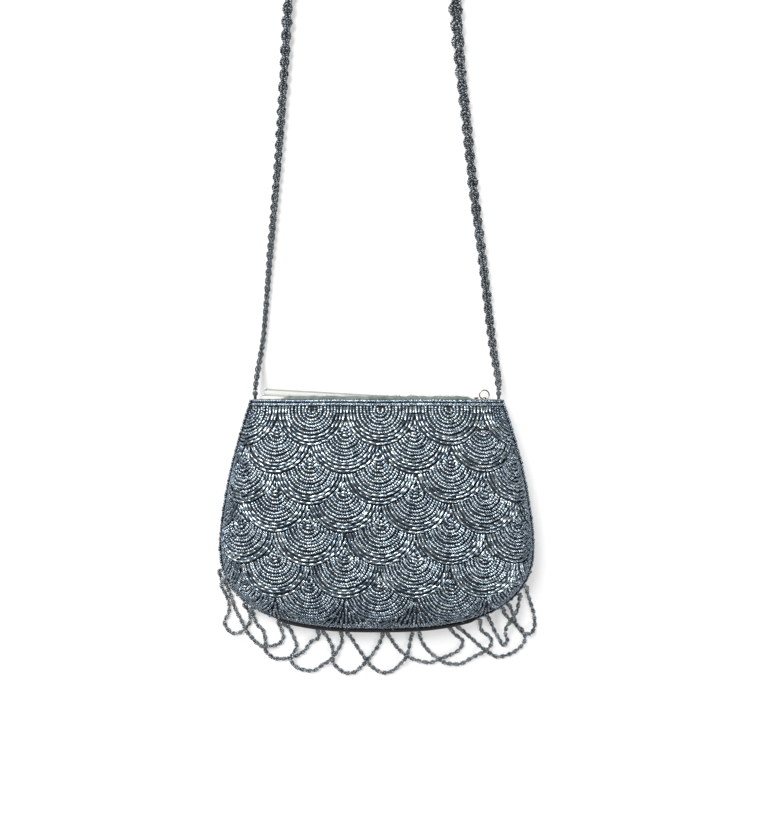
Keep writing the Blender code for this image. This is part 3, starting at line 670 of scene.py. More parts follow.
def woven_finish(name, dark, light, thread, roughness, height, sheen=0.3, streak=60.0):
    """Plain weave: two crossed waves, one thread apart, over patches of lighter and darker cloth."""
    material, tree, shader = new_finish(name, Sheen_Weight=sheen, Sheen_Roughness=0.5)
    places = add_node(tree, "ShaderNodeUVMap", uv_map="cloth").outputs[0]
    waves = [add_node(tree, "ShaderNodeTexWave", bands_direction=axis, Distortion=WAVE_WARP,
                      Scale=1.0 / (thread / MM) / 2.0, Detail_Scale=WAVE_DETAIL,
                      Vector=places).outputs["Fac"] for axis in ("X", "Y")]
    weave = math_node(tree, "MAXIMUM", *waves)
    patches = noise_value(tree, streak)
    level = math_node(tree, "MULTIPLY_ADD", weave, WEAVE_SHARE,
                      math_node(tree, "MULTIPLY", patches, PATCH_SHARE))
    show_levels(tree, shader, level, [*zip(CLOTH_LEVELS, (dark, light))], patches, roughness)
    bump(tree, shader, weave, height)
    return material


GROUND_CLOTH = woven_finish("ground_cloth", (0.006, 0.007, 0.009), (0.028, 0.032, 0.036),
                            0.35 * MM, (0.75, 0.95), 0.08 * MM)
LIP_CLOTH = woven_finish("lip_cloth", (0.120, 0.140, 0.130), (0.390, 0.435, 0.405),
                         0.30 * MM, (0.75, 0.95), 0.10 * MM, sheen=0.6, streak=300.0)
SATIN = woven_finish("satin_lining", (0.42, 0.40, 0.35), (0.66, 0.64, 0.58),
                     0.16 * MM, (0.28, 0.45), 0.01 * MM, sheen=0.2, streak=40.0)
TAPE_WEAVE = woven_finish("zip_tape_weave", (0.64, 0.65, 0.62), (0.86, 0.87, 0.84),
                          0.45 * MM, (0.7, 0.9), 0.08 * MM)

# %% Nylon, metal and thread
PLAIN_LEVELS = (0.3, 0.7)
PLAIN_DETAIL = 5.0


def plain_finish(name, dark, light, roughness, scale, height=0.01 * MM, **sockets):
    """A finish whose colour, polish and fine relief follow one noise in real size."""
    material, tree, shader = new_finish(name, **sockets)
    level = noise_value(tree, scale, PLAIN_DETAIL)
    show_levels(tree, shader, level, [*zip(PLAIN_LEVELS, (dark, light))], level, roughness)
    bump(tree, shader, level, height)
    return material


NYLON = plain_finish("zip_coil_nylon", (0.36, 0.36, 0.33), (0.56, 0.56, 0.52), (0.30, 0.45), 700.0)
# A darker copy of the same nylon, for the back coil: painted shade along the top of the zip
PAINTED_SHADE_NYLON = plain_finish("painted_shade_coil_nylon", (0.10, 0.096, 0.090), (0.24, 0.23, 0.215),
                          (0.35, 0.50), 700.0)
STOP_METAL = plain_finish("stop_metal", (0.48, 0.47, 0.45), (0.70, 0.69, 0.66), (0.30, 0.45), 500.0,
                          Metallic=1.0)
METAL = plain_finish("zip_metal", (0.20, 0.165, 0.13), (0.42, 0.37, 0.31), (0.18, 0.38), 500.0,
                     Metallic=1.0)
THREAD = plain_finish("binding_thread", (0.030, 0.034, 0.038), (0.12, 0.13, 0.14), (0.6, 0.85),
                      1500.0, height=0.04 * MM, Sheen_Weight=0.3)
print("finishes:", sorted(material.name for material in bpy.data.materials if material.node_tree))

# %% [markdown]
# ## Cords: the strap and the fringe
#
# The strap is a rope of two plies laid round each other, and each ply is three strings of beads laid
# the other way. All of it grows with the rope, so one table of route points with a thickness at each
# is enough. The fringe is eleven loops of two strings of rounder beads laid round each other, a little
# kinked. Every string is a helix round a line, so a formula gives it, and beads are spaced along it.

# %% Routes
# The strap: x, y and the rope's radius, in millimetres, from the left knot to the right one
STRAP_ROUTE_MM = [
    (-78.8, 76.8, 1.8), (-78.3, 83.0, 2.2), (-77.5, 91.0, 2.3), (-76.3, 100.0, 2.2),
    (-74.2, 115.0, 2.1), (-71.2, 152.3, 2.4), (-69.3, 175.1, 2.8), (-65.3, 221.5, 3.1),
    (-61.4, 275.8, 3.6), (-58.2, 329.4, 4.2), (-54.6, 384.0, 4.5), (-52.4, 429.0, 4.6),
    (-46.0, 465.0, 4.6), (-28.5, 491.0, 4.7), (-2.0, 500.0, 4.7), (24.0, 491.0, 4.8),
    (41.0, 465.0, 4.9), (47.3, 429.0, 5.0), (49.2, 384.0, 5.1), (51.0, 329.4, 5.0),
    (54.3, 287.6, 4.4), (58.2, 253.6, 4.1), (62.9, 209.0, 3.9), (68.6, 165.3, 3.7),
    (71.3, 142.5, 3.6), (74.5, 115.0, 3.4), (77.0, 97.0, 3.1), (78.1, 88.5, 2.9),
    (78.6, 82.5, 2.7), (78.8, 76.8, 2.2),
]

# The fringe loops, from left to right: each one's route as x, y in millimetres, then where it
# hops over a neighbour as x, y in millimetres and the number of strings under it
FRINGE_LOOPS_MM = [
    ([(-101.6, -39.5), (-102.2, -50.5), (-98.4, -58.8), (-97.5, -68.7), (-100.2, -76.4),
      (-95.4, -82.2), (-88.2, -81.2), (-83.4, -73.6), (-84.6, -63.0)], []),
    ([(-99.6, -45.5), (-95.6, -58.0), (-92.6, -67.7), (-87.2, -77.2), (-81.4, -85.8),
      (-75.0, -90.4), (-67.6, -90.4), (-61.8, -86.0), (-62.8, -75.2)],
     [(-86.3, -78.6, 1), (-74.2, -90.6, 1)]),
    ([(-80.6, -66.0), (-79.6, -75.0), (-75.4, -80.6), (-73.6, -87.8), (-72.9, -94.7),
      (-66.5, -99.6), (-57.0, -98.6), (-49.6, -95.6), (-43.6, -89.1), (-38.6, -85.0),
      (-37.3, -79.1)], []),
    ([(-59.0, -76.2), (-54.6, -85.0), (-52.8, -91.4), (-55.6, -97.6), (-53.9, -103.6),
      (-46.9, -106.9), (-40.4, -106.4), (-33.3, -101.8), (-27.6, -96.4), (-23.0, -89.0),
      (-22.4, -79.8)], [(-55.4, -97.8, 1), (-29.5, -98.3, 1)]),
    ([(-33.6, -79.2), (-32.4, -86.0), (-29.4, -91.1), (-29.0, -97.6), (-28.4, -103.2),
      (-23.2, -107.6), (-16.4, -108.8), (-10.7, -105.0), (-5.7, -99.6), (-0.6, -92.7),
      (2.9, -87.0), (3.2, -79.9)], []),
    ([(-18.4, -79.8), (-15.3, -88.4), (-9.6, -96.4), (-4.2, -103.2), (2.2, -107.9),
      (9.0, -107.6), (15.0, -103.2), (19.6, -96.4), (21.8, -88.6), (22.4, -79.8)],
     [(-6.4, -100.4, 1), (18.6, -98.2, 1)]),
    ([(6.9, -79.9), (9.6, -87.4), (14.6, -94.0), (21.6, -98.6), (28.6, -101.6),
      (35.6, -101.9), (42.2, -99.2), (49.2, -96.2), (55.4, -92.0), (56.4, -86.8),
      (50.8, -82.9), (46.6, -77.9)], []),
    ([(26.4, -79.6), (28.8, -87.4), (34.1, -94.4), (40.6, -98.2), (46.2, -102.0),
      (53.4, -103.0), (60.6, -100.2), (66.6, -96.4), (72.0, -92.9), (75.0, -89.0),
      (73.4, -84.4), (68.8, -80.6), (66.6, -74.2)],
     [(41.6, -99.2, 1), (71.0, -93.6, 1)]),
    ([(51.4, -77.4), (57.3, -82.2), (63.9, -87.6), (70.8, -93.4), (78.4, -97.6),
      (86.7, -96.4), (93.5, -92.0), (97.2, -86.0), (94.6, -79.6), (88.4, -74.4),
      (83.6, -70.0), (81.4, -65.8)], []),
    ([(71.6, -71.9), (76.0, -79.4), (79.6, -85.6), (82.8, -90.4), (85.8, -87.4),
      (84.0, -81.6), (84.6, -75.6), (88.4, -69.6), (91.8, -63.0), (93.4, -56.4)],
     [(88.0, -70.2, 2.6)]),
    ([(97.2, -50.8), (100.4, -60.0), (102.6, -68.0), (104.0, -76.2), (101.0, -82.0),
      (95.6, -81.4), (91.4, -76.2), (88.6, -69.4), (85.2, -62.4)],
     [(97.6, -82.0, 1), (92.6, -78.8, 1), (89.6, -73.0, 1)]),
]


# %% From route points to a smooth line
ROUTE_STEPS = 16


def smooth_route(points, count):
    """Even points along a Catmull-Rom curve through the given ones."""
    rows = np.asarray(points, float)
    rows = np.concatenate([[2 * rows[0] - rows[1]], rows, [2 * rows[-1] - rows[-2]]])
    t = (np.arange(ROUTE_STEPS) / ROUTE_STEPS)[:, None]
    fine = []
    for before, start, end, after in zip(rows, rows[1:], rows[2:], rows[3:]):
        fine.append(0.5 * (2 * start + (end - before) * t
                           + (2 * before - 5 * start + 4 * end - after) * t ** 2
                           + (3 * start - before - 3 * end + after) * t ** 3))
    fine = np.concatenate([*fine, rows[-2:-1]])
    reach = walked_along(fine)
    marks = np.linspace(0.0, reach[-1], count)
    return np.stack([np.interp(marks, reach, fine[:, i]) for i in range(fine.shape[1])], axis=-1)


def walked_along(line):
    """Length of a line up to each of its points."""
    return np.concatenate([[0.0], np.cumsum(np.linalg.norm(np.diff(line, axis=0), axis=1))])


def rope_sides(line):
    """Two directions square to a line that lies along the table, at each of its points."""
    along = unit(np.gradient(line, axis=0))
    side = unit(np.cross(along, [0.0, 0.0, 1.0]))
    return side, np.cross(side, along)


def wound(line, offset, turn):
    """A line wound round another at an offset, turned by an angle at each point."""
    side, up = rope_sides(line)
    offset = np.broadcast_to(offset, len(line))[:, None]
    return line + offset * (np.cos(turn)[:, None] * side + np.sin(turn)[:, None] * up)


def string_beads(thread, length, girth, span_share=1.0, tone=0.0):
    """Beads on one string of a cord, none of them under the table."""
    middles, ways, spans = spaced(thread, length)
    reach = walked_along(middles)
    marks = np.linspace(0.0, reach[-1], len(thread))
    girth = np.interp(reach, marks, np.broadcast_to(girth, len(thread)))
    middles[:, 2] = np.maximum(middles[:, 2], girth / 2)
    facing = np.cross(ways, [0.0, 0.0, 1.0])
    return bead_places(middles, ways, facing, spans * span_share, girth, tone)


# %% The strap's rope
ROPE_POINTS = 3200
ROPE_PLIES = 2
PLY_STRINGS = 3
PLY_OFFSET = 0.43
STRING_OFFSET = 0.32
PLY_LAY = 4.6
STRING_LAY = 3.4
ROPE_BEAD_GIRTH = 0.50
ROPE_BEAD_LENGTH = 0.40
ROPE_SWELL = 0.10
ROPE_SWELL_RUNS_MM = (11.0, 18.7, 6.6)
ROPE_THINNING = 0.35
CORD_LIFT = 0.1 * MM
STRAP_DROP_RUN = 26 * MM


def strap_line():
    """The rope's centre line and its radius along the way."""
    rows = smooth_route(STRAP_ROUTE_MM, ROPE_POINTS) * MM
    reach = walked_along(rows[:, :2])
    from_end = np.minimum(reach, reach[-1] - reach)
    rest = rows[:, 2] + CORD_LIFT
    z = mix(MOUTH_SEAM_HEIGHT, rest, smooth(from_end / STRAP_DROP_RUN))
    return np.stack([rows[:, 0], rows[:, 1], z], axis=-1), rows[:, 2], reach


def rope_beads(dice):
    """Beads on the six strings of the rope, and the rope's centre line."""
    line, radius, reach = strap_line()
    waves = [np.sin(math.tau * reach / (run * MM) + dice.uniform(0, math.tau))
             for run in ROPE_SWELL_RUNS_MM]
    local = radius * (1.0 + ROPE_SWELL * (sum(waves) / len(waves) - ROPE_THINNING))
    per_radius = np.concatenate([[0.0], np.cumsum(np.diff(reach) / local[1:])])
    tables = []
    for ply in range(ROPE_PLIES):
        turn = math.tau * (per_radius / PLY_LAY + ply / ROPE_PLIES)
        ply_line = wound(line, PLY_OFFSET * local, turn)
        for string in range(PLY_STRINGS):
            roll = -math.tau * (per_radius / STRING_LAY + string / PLY_STRINGS)
            thread = wound(ply_line, STRING_OFFSET * local, roll)
            tables.append(string_beads(thread, ROPE_BEAD_LENGTH * local, ROPE_BEAD_GIRTH * local))
    return gather(tables), line


dice = np.random.default_rng(11)
rope, rope_line = rope_beads(dice)
strap = set_beads("strap_rope_beads", rope, STRUNG_SHAPE, ROPE_BEADS, "strap",
                  "strap_rope", spread=0.10, lean=0.14, seed=21)
print("strap:", round(float(walked_along(rope_line)[-1]), 3), "m")

# %% The fringe's loops
EDGE_STRING_RADIUS = 1.0 * MM
FRINGE_RADIUS = 1.1 * MM
FRINGE_DROP_RUN = 10.0 * MM
FRINGE_LEAD = 2.2 * MM
FRINGE_TUCK = 1.6 * MM
FRINGE_HOP = 2.9 * MM
FRINGE_HOP_RUN = 9.0 * MM
SEAM_SIDE_SHARE = 0.6
SEAM_SAMPLES = 240
FRINGE_POINTS = 420
FRINGE_LAY = 9.0 * MM
FRINGE_BEAD_GIRTH = 1.50 * MM
FRINGE_BEAD_LENGTH = 1.34 * MM
FRINGE_SPAN_SHARE = 0.93
FRINGE_SHAPE = {"Sides": 8, "Bands": 3, "End Share": 0.50, "Shoulder": 0.22}
FRINGE_STRING_OFFSET = 0.48
FRINGE_TONE = 0.14
FRINGE_KINK = 0.45 * MM
FRINGE_KINK_RUN = 5.5 * MM


def seam_places():
    """Shares across and down the pouch for places along its lower seam."""
    down = np.linspace(SEAM_SIDE_SHARE, 1.0, SEAM_SAMPLES, endpoint=False)
    across = np.linspace(-1.0, 1.0, SEAM_SAMPLES + 1)
    return np.concatenate([np.stack([np.ones_like(down), down], axis=-1),
                           np.stack([across, np.ones_like(across)], axis=-1),
                           np.stack([-np.ones_like(down), down], axis=-1)])


def sewn_end(point, places):
    """Where a string is sewn on outside the edge string, and a lead straight out from there."""
    outset = -(2 * EDGE_STRING_RADIUS + 2 * SEAT_GAP)
    rows = np.stack(plan_point(places[:, 0], places[:, 1], outset + FRINGE_TUCK), axis=-1)
    nearest = np.linalg.norm(rows - point, axis=1).argmin()
    lead = np.stack(plan_point(*places[nearest], outset - FRINGE_LEAD), axis=-1)
    return rows[nearest], lead


def fringe_line(route, hops, places, dice):
    """A loop's centre line: from the seam down to the table, over its neighbours, and back up."""
    flat = np.array(route) * MM
    first, last = sewn_end(flat[0], places), sewn_end(flat[-1], places)
    rows = smooth_route([*first, *flat[1:-1], *reversed(last)], FRINGE_POINTS)
    reach = walked_along(rows)
    rest = FRINGE_RADIUS + CORD_LIFT
    from_end = np.minimum(reach, reach[-1] - reach)
    marks = np.arange(0.0, reach[-1] + 2 * FRINGE_KINK_RUN, FRINGE_KINK_RUN)
    draws = int(reach[-1] / FRINGE_KINK_RUN) + 3
    kinks = [np.interp(reach, marks, dice.uniform(-1, 1, draws)[:len(marks)]) for _ in range(2)]
    ease = smooth(from_end / FRINGE_DROP_RUN)[:, None]
    rows = rows + FRINGE_KINK * np.stack(kinks, axis=-1) * ease
    z = mix(BODY_SEAM_HEIGHT, rest, smooth(from_end / FRINGE_DROP_RUN))
    for x, y, strings in hops:
        away = np.linalg.norm(rows - np.array([x, y]) * MM, axis=1) / (FRINGE_HOP_RUN * strings)
        hop = rest + FRINGE_HOP * strings * (1.0 + np.cos(math.pi * np.clip(away, 0.0, 1.0))) / 2
        z = np.maximum(z, hop)
    return np.column_stack([rows, z])


def fringe_beads(line, start_turn):
    """Beads on the two strings of a loop."""
    reach = walked_along(line)
    turns = [math.tau * (reach / FRINGE_LAY + string) + start_turn for string in (0.0, 0.5)]
    threads = [wound(line, FRINGE_BEAD_GIRTH * FRINGE_STRING_OFFSET, turn) for turn in turns]
    return gather([string_beads(thread, FRINGE_BEAD_LENGTH, FRINGE_BEAD_GIRTH, FRINGE_SPAN_SHARE,
                                FRINGE_TONE) for thread in threads])


places = seam_places()
for number, (route, hops) in enumerate(FRINGE_LOOPS_MM, start=1):
    node = f"fringe_loop_{number:02d}"
    line = fringe_line(route, hops, places, dice)
    table = fringe_beads(line, dice.uniform(0, math.tau))
    loop = set_beads(node + "_beads", table, FRINGE_SHAPE, ROPE_BEADS, "bag", node,
                     spread=0.18, lean=0.30, seed=40 + number)

# %% [markdown]
# ## The fish-scale beading
#
# The pattern is rows of round scales, each row half a scale aside from the one above and overlapping
# the one below, as on a fish. A scale is ten threads deep: three rims of bugle beads, then rings of
# seed beads, and above its middle a diamond of bugles. The lowest row is fans of bugles, which spread
# down over the rolled rim, and the scales above the fans are rimmed with seed beads. Each scale is
# drawn whole, and then what the row above covers is left out. Scattering beads at random inside a drawn
# shape would lose the threads.

# %% Sizes of the scales
SCALE_PITCH = 43.6 * MM
SCALE_RADIUS = 22.0 * MM
SCALE_MIDDLE = 2.4 * MM
SCALE_ROWS_Y_MM = [63.9, 47.3, 28.3, 10.2, -9.3, -30.3, -48.0, -67.2]
SCALE_ROWS = len(SCALE_ROWS_Y_MM)
ROW_ABOVE_MM = 82.0
HEM_LINE = 66.4 * MM
SCALE_COLUMNS = range(-4, 5)
SCALE_STEP = 0.40 * MM
RING_PITCH = 2.12 * MM
RING_COUNT = 10
BUGLE_RINGS = 3
SEED_GIRTH = 1.58 * MM
SEED_STEP = 1.50 * MM
BUGLE_GIRTH = 1.52 * MM
BUGLE_STEP = 4.6 * MM
HEART_STEP = 3.5 * MM
RING_LIFT = 3.3 * MM
DIAMOND_LOW = 0.8 * MM
DIAMOND_SLOPE = 0.75
DIAMOND_LEVEL = 4.1 * MM
HEART_LEGS_MM = [((1.9, 1.1), (5.4, 3.8)), ((1.7, 3.2), (3.5, 4.6))]
HEART_CROSS_MM = [((-1.7, 0.6), (1.7, 0.8)), ((-1.5, 2.6), (1.6, 2.8))]
CHEVRONS = 3
HEART_SEEDS_MM = [(0.0, 4.8), (-1.3, 5.2), (1.1, 6.1)]
FAN_ROW = 7
FAN_TOP = 15.5 * MM
FAN_TURN = 1.25
FAN_LINES = 33
FAN_START_MM = (3.0, 22.0, 11.0, 22.0)
FAN_REACH = 44 * MM
# Painted shade: how much darker beads are made near the bottom rim and near the sides
RIM_PAINTED_SHADE = 0.46
SIDE_PAINTED_SHADE = 0.52
HAND_SHIFT = 0.6 * MM
HAND_WAVE = 0.22 * MM
HAND_TURN = {"ring": 0.04, "heart": 0.16}
HAND_WAVE_TURN = 9.0
ARC_TURN = 2.3
LEG_POINTS = 12
THREAD_STEP = 0.3 * MM
RIM_GAP = 0.12
LEAST_RUN = 0.9 * MM
BEAD_SINK = SEED_GIRTH / 2


def scale_centres(dice):
    """Each scale's centre on the pattern, a little off its place, as handmade rows are."""
    centres = {}
    for row, y in zip(range(-1, SCALE_ROWS), [ROW_ABOVE_MM] + SCALE_ROWS_Y_MM):
        for column in SCALE_COLUMNS:
            place = np.array([SCALE_MIDDLE + SCALE_PITCH * (column + (row % 2) / 2), y * MM])
            centres[row, column] = place + dice.uniform(-HAND_SHIFT, HAND_SHIFT, 2) * (row > 0)
    return centres


def neighbours_above(row, column):
    """The two scales of the row above that overlap one, left and right."""
    left = column - 1 + row % 2
    return (row - 1, left), (row - 1, left + 1)


# %% Threads of one scale
def arc(centre, radius, start, end):
    """Places along an arc, from one angle to another, where angle 0 points straight down."""
    count = max(3, int(abs(end - start) * radius / THREAD_STEP))
    turn = np.linspace(start, end, count)
    return centre + radius * np.stack([np.sin(turn), -np.cos(turn)], axis=-1)


def heart_thread(ends, centre, side, kept):
    """A straight thread of bugles in the heart of a scale, mirrored for the left side."""
    line = np.linspace(*ends, LEG_POINTS) * MM * np.array([side, 1.0]) + centre
    return line, np.full(LEG_POINTS, kept), True, "heart"


def fan_threads(centre):
    """Bugles that spread down from between two scales of the lowest row."""
    top = centre + np.array([0.0, FAN_TOP])
    threads = []
    for i, turn in enumerate(np.linspace(-FAN_TURN, FAN_TURN, FAN_LINES)):
        away = np.arange(FAN_START_MM[i % len(FAN_START_MM)] * MM, FAN_REACH, THREAD_STEP)[:, None]
        line = top + away * np.array([math.sin(turn), -math.cos(turn)])
        threads.append((line, np.abs(line[:, 0] - top[0]) < SCALE_PITCH / 2, True, "heart"))
    return threads


def scale_threads(centres, row, column, dice):
    """All threads of one scale as (line, kept, is_bugle, part), before the row above hides any."""
    centre = centres[row, column]
    if row == FAN_ROW:
        return fan_threads(centre)
    threads = []
    for ring in range(RING_COUNT):
        radius = SCALE_RADIUS - (ring + 0.5) * RING_PITCH
        lift = RING_LIFT * (1.0 - radius / SCALE_RADIUS) * (row > 0)
        line = arc(centre + np.array([0.0, lift]), radius + lift, -ARC_TURN, ARC_TURN)
        swing = np.linspace(0.0, HAND_WAVE_TURN, len(line)) + dice.uniform(0, math.tau)
        wave = HAND_WAVE * np.sin(swing)
        line = line + unit(line - centre) * wave[:, None]
        low = line[:, 1] - centre[1] < DIAMOND_SLOPE * np.abs(line[:, 0] - centre[0]) - DIAMOND_LOW
        low |= row == 0
        threads.append((line, low, ring < BUGLE_RINGS and row < FAN_ROW - 1, "ring"))
    for side, above in zip((-1, 1), neighbours_above(row, column)):
        if above not in centres:
            continue
        for chevron in range(CHEVRONS):
            radius = SCALE_RADIUS + (chevron + 0.5) * RING_PITCH
            line = arc(centres[above], radius, 0.0, -side * math.pi / 2)
            offset = (line - centre) * np.array([side, 1.0])
            kept = (offset[:, 0] > 0.0) & (offset[:, 1] > DIAMOND_LEVEL)
            kept &= offset[:, 1] > DIAMOND_SLOPE * offset[:, 0] - DIAMOND_LOW + RING_PITCH / 2
            threads.append((line, kept, True, "heart"))
        for leg in HEART_LEGS_MM:
            threads.append(heart_thread(leg, centre, side, row > 0))
    for cross in HEART_CROSS_MM:
        threads.append(heart_thread(cross, centre, 1, row > 0))
    return threads


# %% Beads of a whole face
def runs(mask):
    """Start and end of each unbroken run of True."""
    edges = np.flatnonzero(np.diff(np.concatenate([[0], mask.astype(int), [0]])))
    return zip(edges[::2], edges[1::2])


def turned(ways, angle):
    """Flat directions turned by an angle each."""
    x = ways[:, 0] * np.cos(angle) - ways[:, 1] * np.sin(angle)
    y = ways[:, 0] * np.sin(angle) + ways[:, 1] * np.cos(angle)
    return np.stack([x, y], axis=-1)


def scale_beads(dice):
    """Flat places of all seed and bugle beads of a face, with their ways, spans and sinks."""
    centres = scale_centres(dice)
    beads = {True: [], False: []}
    for row in range(SCALE_ROWS):
        for column in SCALE_COLUMNS:
            centre = centres[row, column]
            for line, kept, is_bugle, part in scale_threads(centres, row, column, dice):
                kept = kept & (line[:, 1] < HEM_LINE)
                for above in neighbours_above(row, column):
                    if row > 0 and above in centres:
                        away = np.linalg.norm(line - centres[above], axis=1)
                        kept &= away > SCALE_RADIUS + RING_PITCH * RIM_GAP
                for start, end in runs(kept):
                    if (end - start) * THREAD_STEP < LEAST_RUN:
                        continue
                    step = HEART_STEP if part == "heart" else BUGLE_STEP if is_bugle else SEED_STEP
                    middles, ways, spans = spaced(line[start:end], step)
                    ways = turned(ways, dice.normal(0.0, HAND_TURN[part], len(ways)))
                    if part == "ring":
                        share = np.linalg.norm(middles - centre, axis=1) / SCALE_RADIUS
                        sink = SCALE_STEP * (1.0 - share)
                    else:
                        sink = np.full(len(middles), SCALE_STEP)
                    beads[is_bugle].append((middles, ways, spans, sink))
            heart = centre + np.array(HEART_SEEDS_MM) * MM
            heart = heart[(heart[:, 1] < HEM_LINE) & (0 < row < FAN_ROW)]
            ways = dice.normal(0.0, 1.0, heart.shape)
            beads[False].append((heart, ways, np.full(len(heart), SEED_STEP),
                                 np.full(len(heart), SCALE_STEP)))
    return {kind: [np.concatenate(parts) for parts in zip(*rows)] for kind, rows in beads.items()}


SEWN_SHIFT = 0.10 * MM
LONGEST_FEELER = 1.4 * MM
# Where that painted shade starts, as a share down and a share across
RIM_PAINTED_SHADE_FROM = 0.82
SIDE_PAINTED_SHADE_FROM = 0.85


def laid_on(face, middles, ways, spans, sink, girth, tone, dice):
    """Flat beads laid on a face, with painted shade at the rim and sides, without those that miss the
    cloth.
    """
    ways = unit(ways)
    middles = middles + dice.normal(0.0, SEWN_SHIFT, middles.shape)
    sunk = np.maximum(sink + dice.normal(0.0, SEWN_SHIFT / 2, len(sink)), 0.0)
    places, facing, on_cloth = on_face(face, middles, BEAD_SINK, sunk)
    half = ways * np.minimum(spans, LONGEST_FEELER)[:, None] / 2
    start, _, _ = on_face(face, middles - half, BEAD_SINK, sunk)
    end, _, _ = on_face(face, middles + half, BEAD_SINK, sunk)
    across, down = plan_shares(places[:, 0], places[:, 1], 0.0)
    # Painted shade: beads grow darker towards the bottom rim and the side edges
    tone = tone - RIM_PAINTED_SHADE * smooth((down - RIM_PAINTED_SHADE_FROM) / (1.0 - RIM_PAINTED_SHADE_FROM))
    tone = tone - SIDE_PAINTED_SHADE * smooth((np.abs(across) - SIDE_PAINTED_SHADE_FROM) / (1.0 - SIDE_PAINTED_SHADE_FROM))
    way = unit(end - start)
    places[:, 2] = np.maximum(places[:, 2], np.abs(way[:, 2]) * spans / 2 + girth / 2)
    table = bead_places(places, way, facing, spans, girth, tone)
    return chosen(table, on_cloth)


# %% Sew the scales on the front
FRONT_BANDS = {"top": (0.024, 1.0), "middle": (-0.024, 0.024), "bottom": (-1.0, -0.024)}
BUGLE_TONE = 0.0
SEED_SPAN_SHARE = 1.02
BUGLE_SPAN_SHARE = 0.95


def sew_scales(face, bands, shape, seed):
    """The seed beads of a face in bands, so that no piece is too large, and its bugles."""
    dice = np.random.default_rng(seed)
    kinds = scale_beads(dice)
    seeds = laid_on(face, *kinds[False], SEED_GIRTH, 0.0, dice)
    seeds["span"] = seeds["span"] * SEED_SPAN_SHARE
    bugles = laid_on(face, *kinds[True], BUGLE_GIRTH, BUGLE_TONE, dice)
    bugles["span"] = bugles["span"] * BUGLE_SPAN_SHARE
    y = seeds["places"][:, 1]
    node = face + "_beading"
    for label, (low, high) in bands.items():
        set_beads(f"{face}_seed_beads_{label}", chosen(seeds, (y >= low) & (y < high)), shape,
                  STEEL_BEADS, "bag", node, seed=seed)
    set_beads(f"{face}_bugle_beads", bugles, BUGLE_SHAPE, STEEL_BEADS, "bag", node,
              spread=0.04, lean=0.05, seed=seed + 1)


sew_scales("front", FRONT_BANDS, SEED_SHAPE, 101)

# %% Sew the scales on the back
BACK_BANDS = {"top": (0.0, 1.0), "bottom": (-1.0, 0.0)}
sew_scales("back", BACK_BANDS, BACK_SEED_SHAPE, 202)

# %% [markdown]
# ## The hem and the edge
#
# Two straight rows of seed beads finish the mouth, and two strings of beads, one over the other, cover
# the seam all the way round. These are single threads, so they use the same spacing.
#
# The hem has a fault that is not mended. Its lines carry their two shares beside x, y and
# z, and the shares count in the length that is cut into spans. So each row gets 1280 beads that overlap
# closely, where a sewn row has about a hundred, end to end. Cutting by x, y and z alone would mend it.

# %% Hem rows
HEM_ROWS_Y = [69.7 * MM, 67.4 * MM]
HEM_GIRTH = 1.95 * MM
HEM_STEP = 1.56 * MM
HEM_POINTS = 900
HEM_REACH = 0.995
HEM_TONE = -0.22
HEM_WAVE = 0.12 * MM
HEM_WAVE_TURN = 9.0
HEM_SHIFT = 0.06 * MM
for face in ("front", "back"):
    dice = np.random.default_rng(303)
    tables = []
    for y in HEM_ROWS_Y:
        across = HEM_REACH * np.sin(np.linspace(-math.pi / 2, math.pi / 2, HEM_POINTS))
        wave = HEM_WAVE * np.sin(HEM_WAVE_TURN * across + dice.uniform(0, math.tau))
        down = share_down(y - wave)
        line = np.column_stack([face_point(face, across, down, HEM_GIRTH / 2), across, down])
        middles, ways, spans = spaced(line, HEM_STEP)
        middles[:, :3] += dice.normal(0.0, HEM_SHIFT, (len(middles), 3))
        facing = face_way(face, middles[:, 3], middles[:, 4])
        middles[:, 2] = np.maximum(middles[:, 2], HEM_GIRTH / 2)
        tables.append(bead_places(middles[:, :3], ways[:, :3], facing, HEM_STEP * SEED_SPAN_SHARE,
                                  HEM_GIRTH, HEM_TONE))
    set_beads(f"hem_rows_{face}", gather(tables), SEED_SHAPE, STEEL_BEADS, "bag",
              "hem_beads_" + face, seed=31)

# %% The strings of beads over the seam
EDGE_STEP = 1.60 * MM
EDGE_GIRTH = 1.55 * MM
EDGE_LIFTS = (-0.75 * MM, 0.75 * MM)
EDGE_SHIFT = 0.18 * MM
EDGE_OUTSET = 0.7 * MM
EDGE_POINTS = 700
SIDE_SHARES = np.sin(np.linspace(0.0, math.pi / 2, EDGE_POINTS // 2))
BOTTOM_SHARES = np.sin(np.linspace(-math.pi / 2, math.pi / 2, EDGE_POINTS))


def edge_line(inset):
    """The seam's line, an inset within the outline."""
    across, down = shares_round(SIDE_SHARES, BOTTOM_SHARES)
    x, y = plan_point(across, down, inset)
    return np.stack([x, y, seam_height(down)], axis=-1)


dice = np.random.default_rng(505)
tables = []
for lift in EDGE_LIFTS:
    middles, ways, spans = spaced(edge_line(-EDGE_OUTSET), EDGE_STEP)
    middles += dice.normal(0.0, EDGE_SHIFT, middles.shape)
    middles[:, 2] += lift
    facing = np.broadcast_to([0.0, 0.0, 1.0], middles.shape)
    # Painted shade: the strings over the seam take the sides' painted shade and come out darker
    tables.append(bead_places(middles, ways, facing, spans, EDGE_GIRTH, -SIDE_PAINTED_SHADE))
set_beads("edge_string_beads", gather(tables), SEED_SHAPE, STEEL_BEADS, "bag",
          "edge_bead_string", lean=0.35, seed=51)
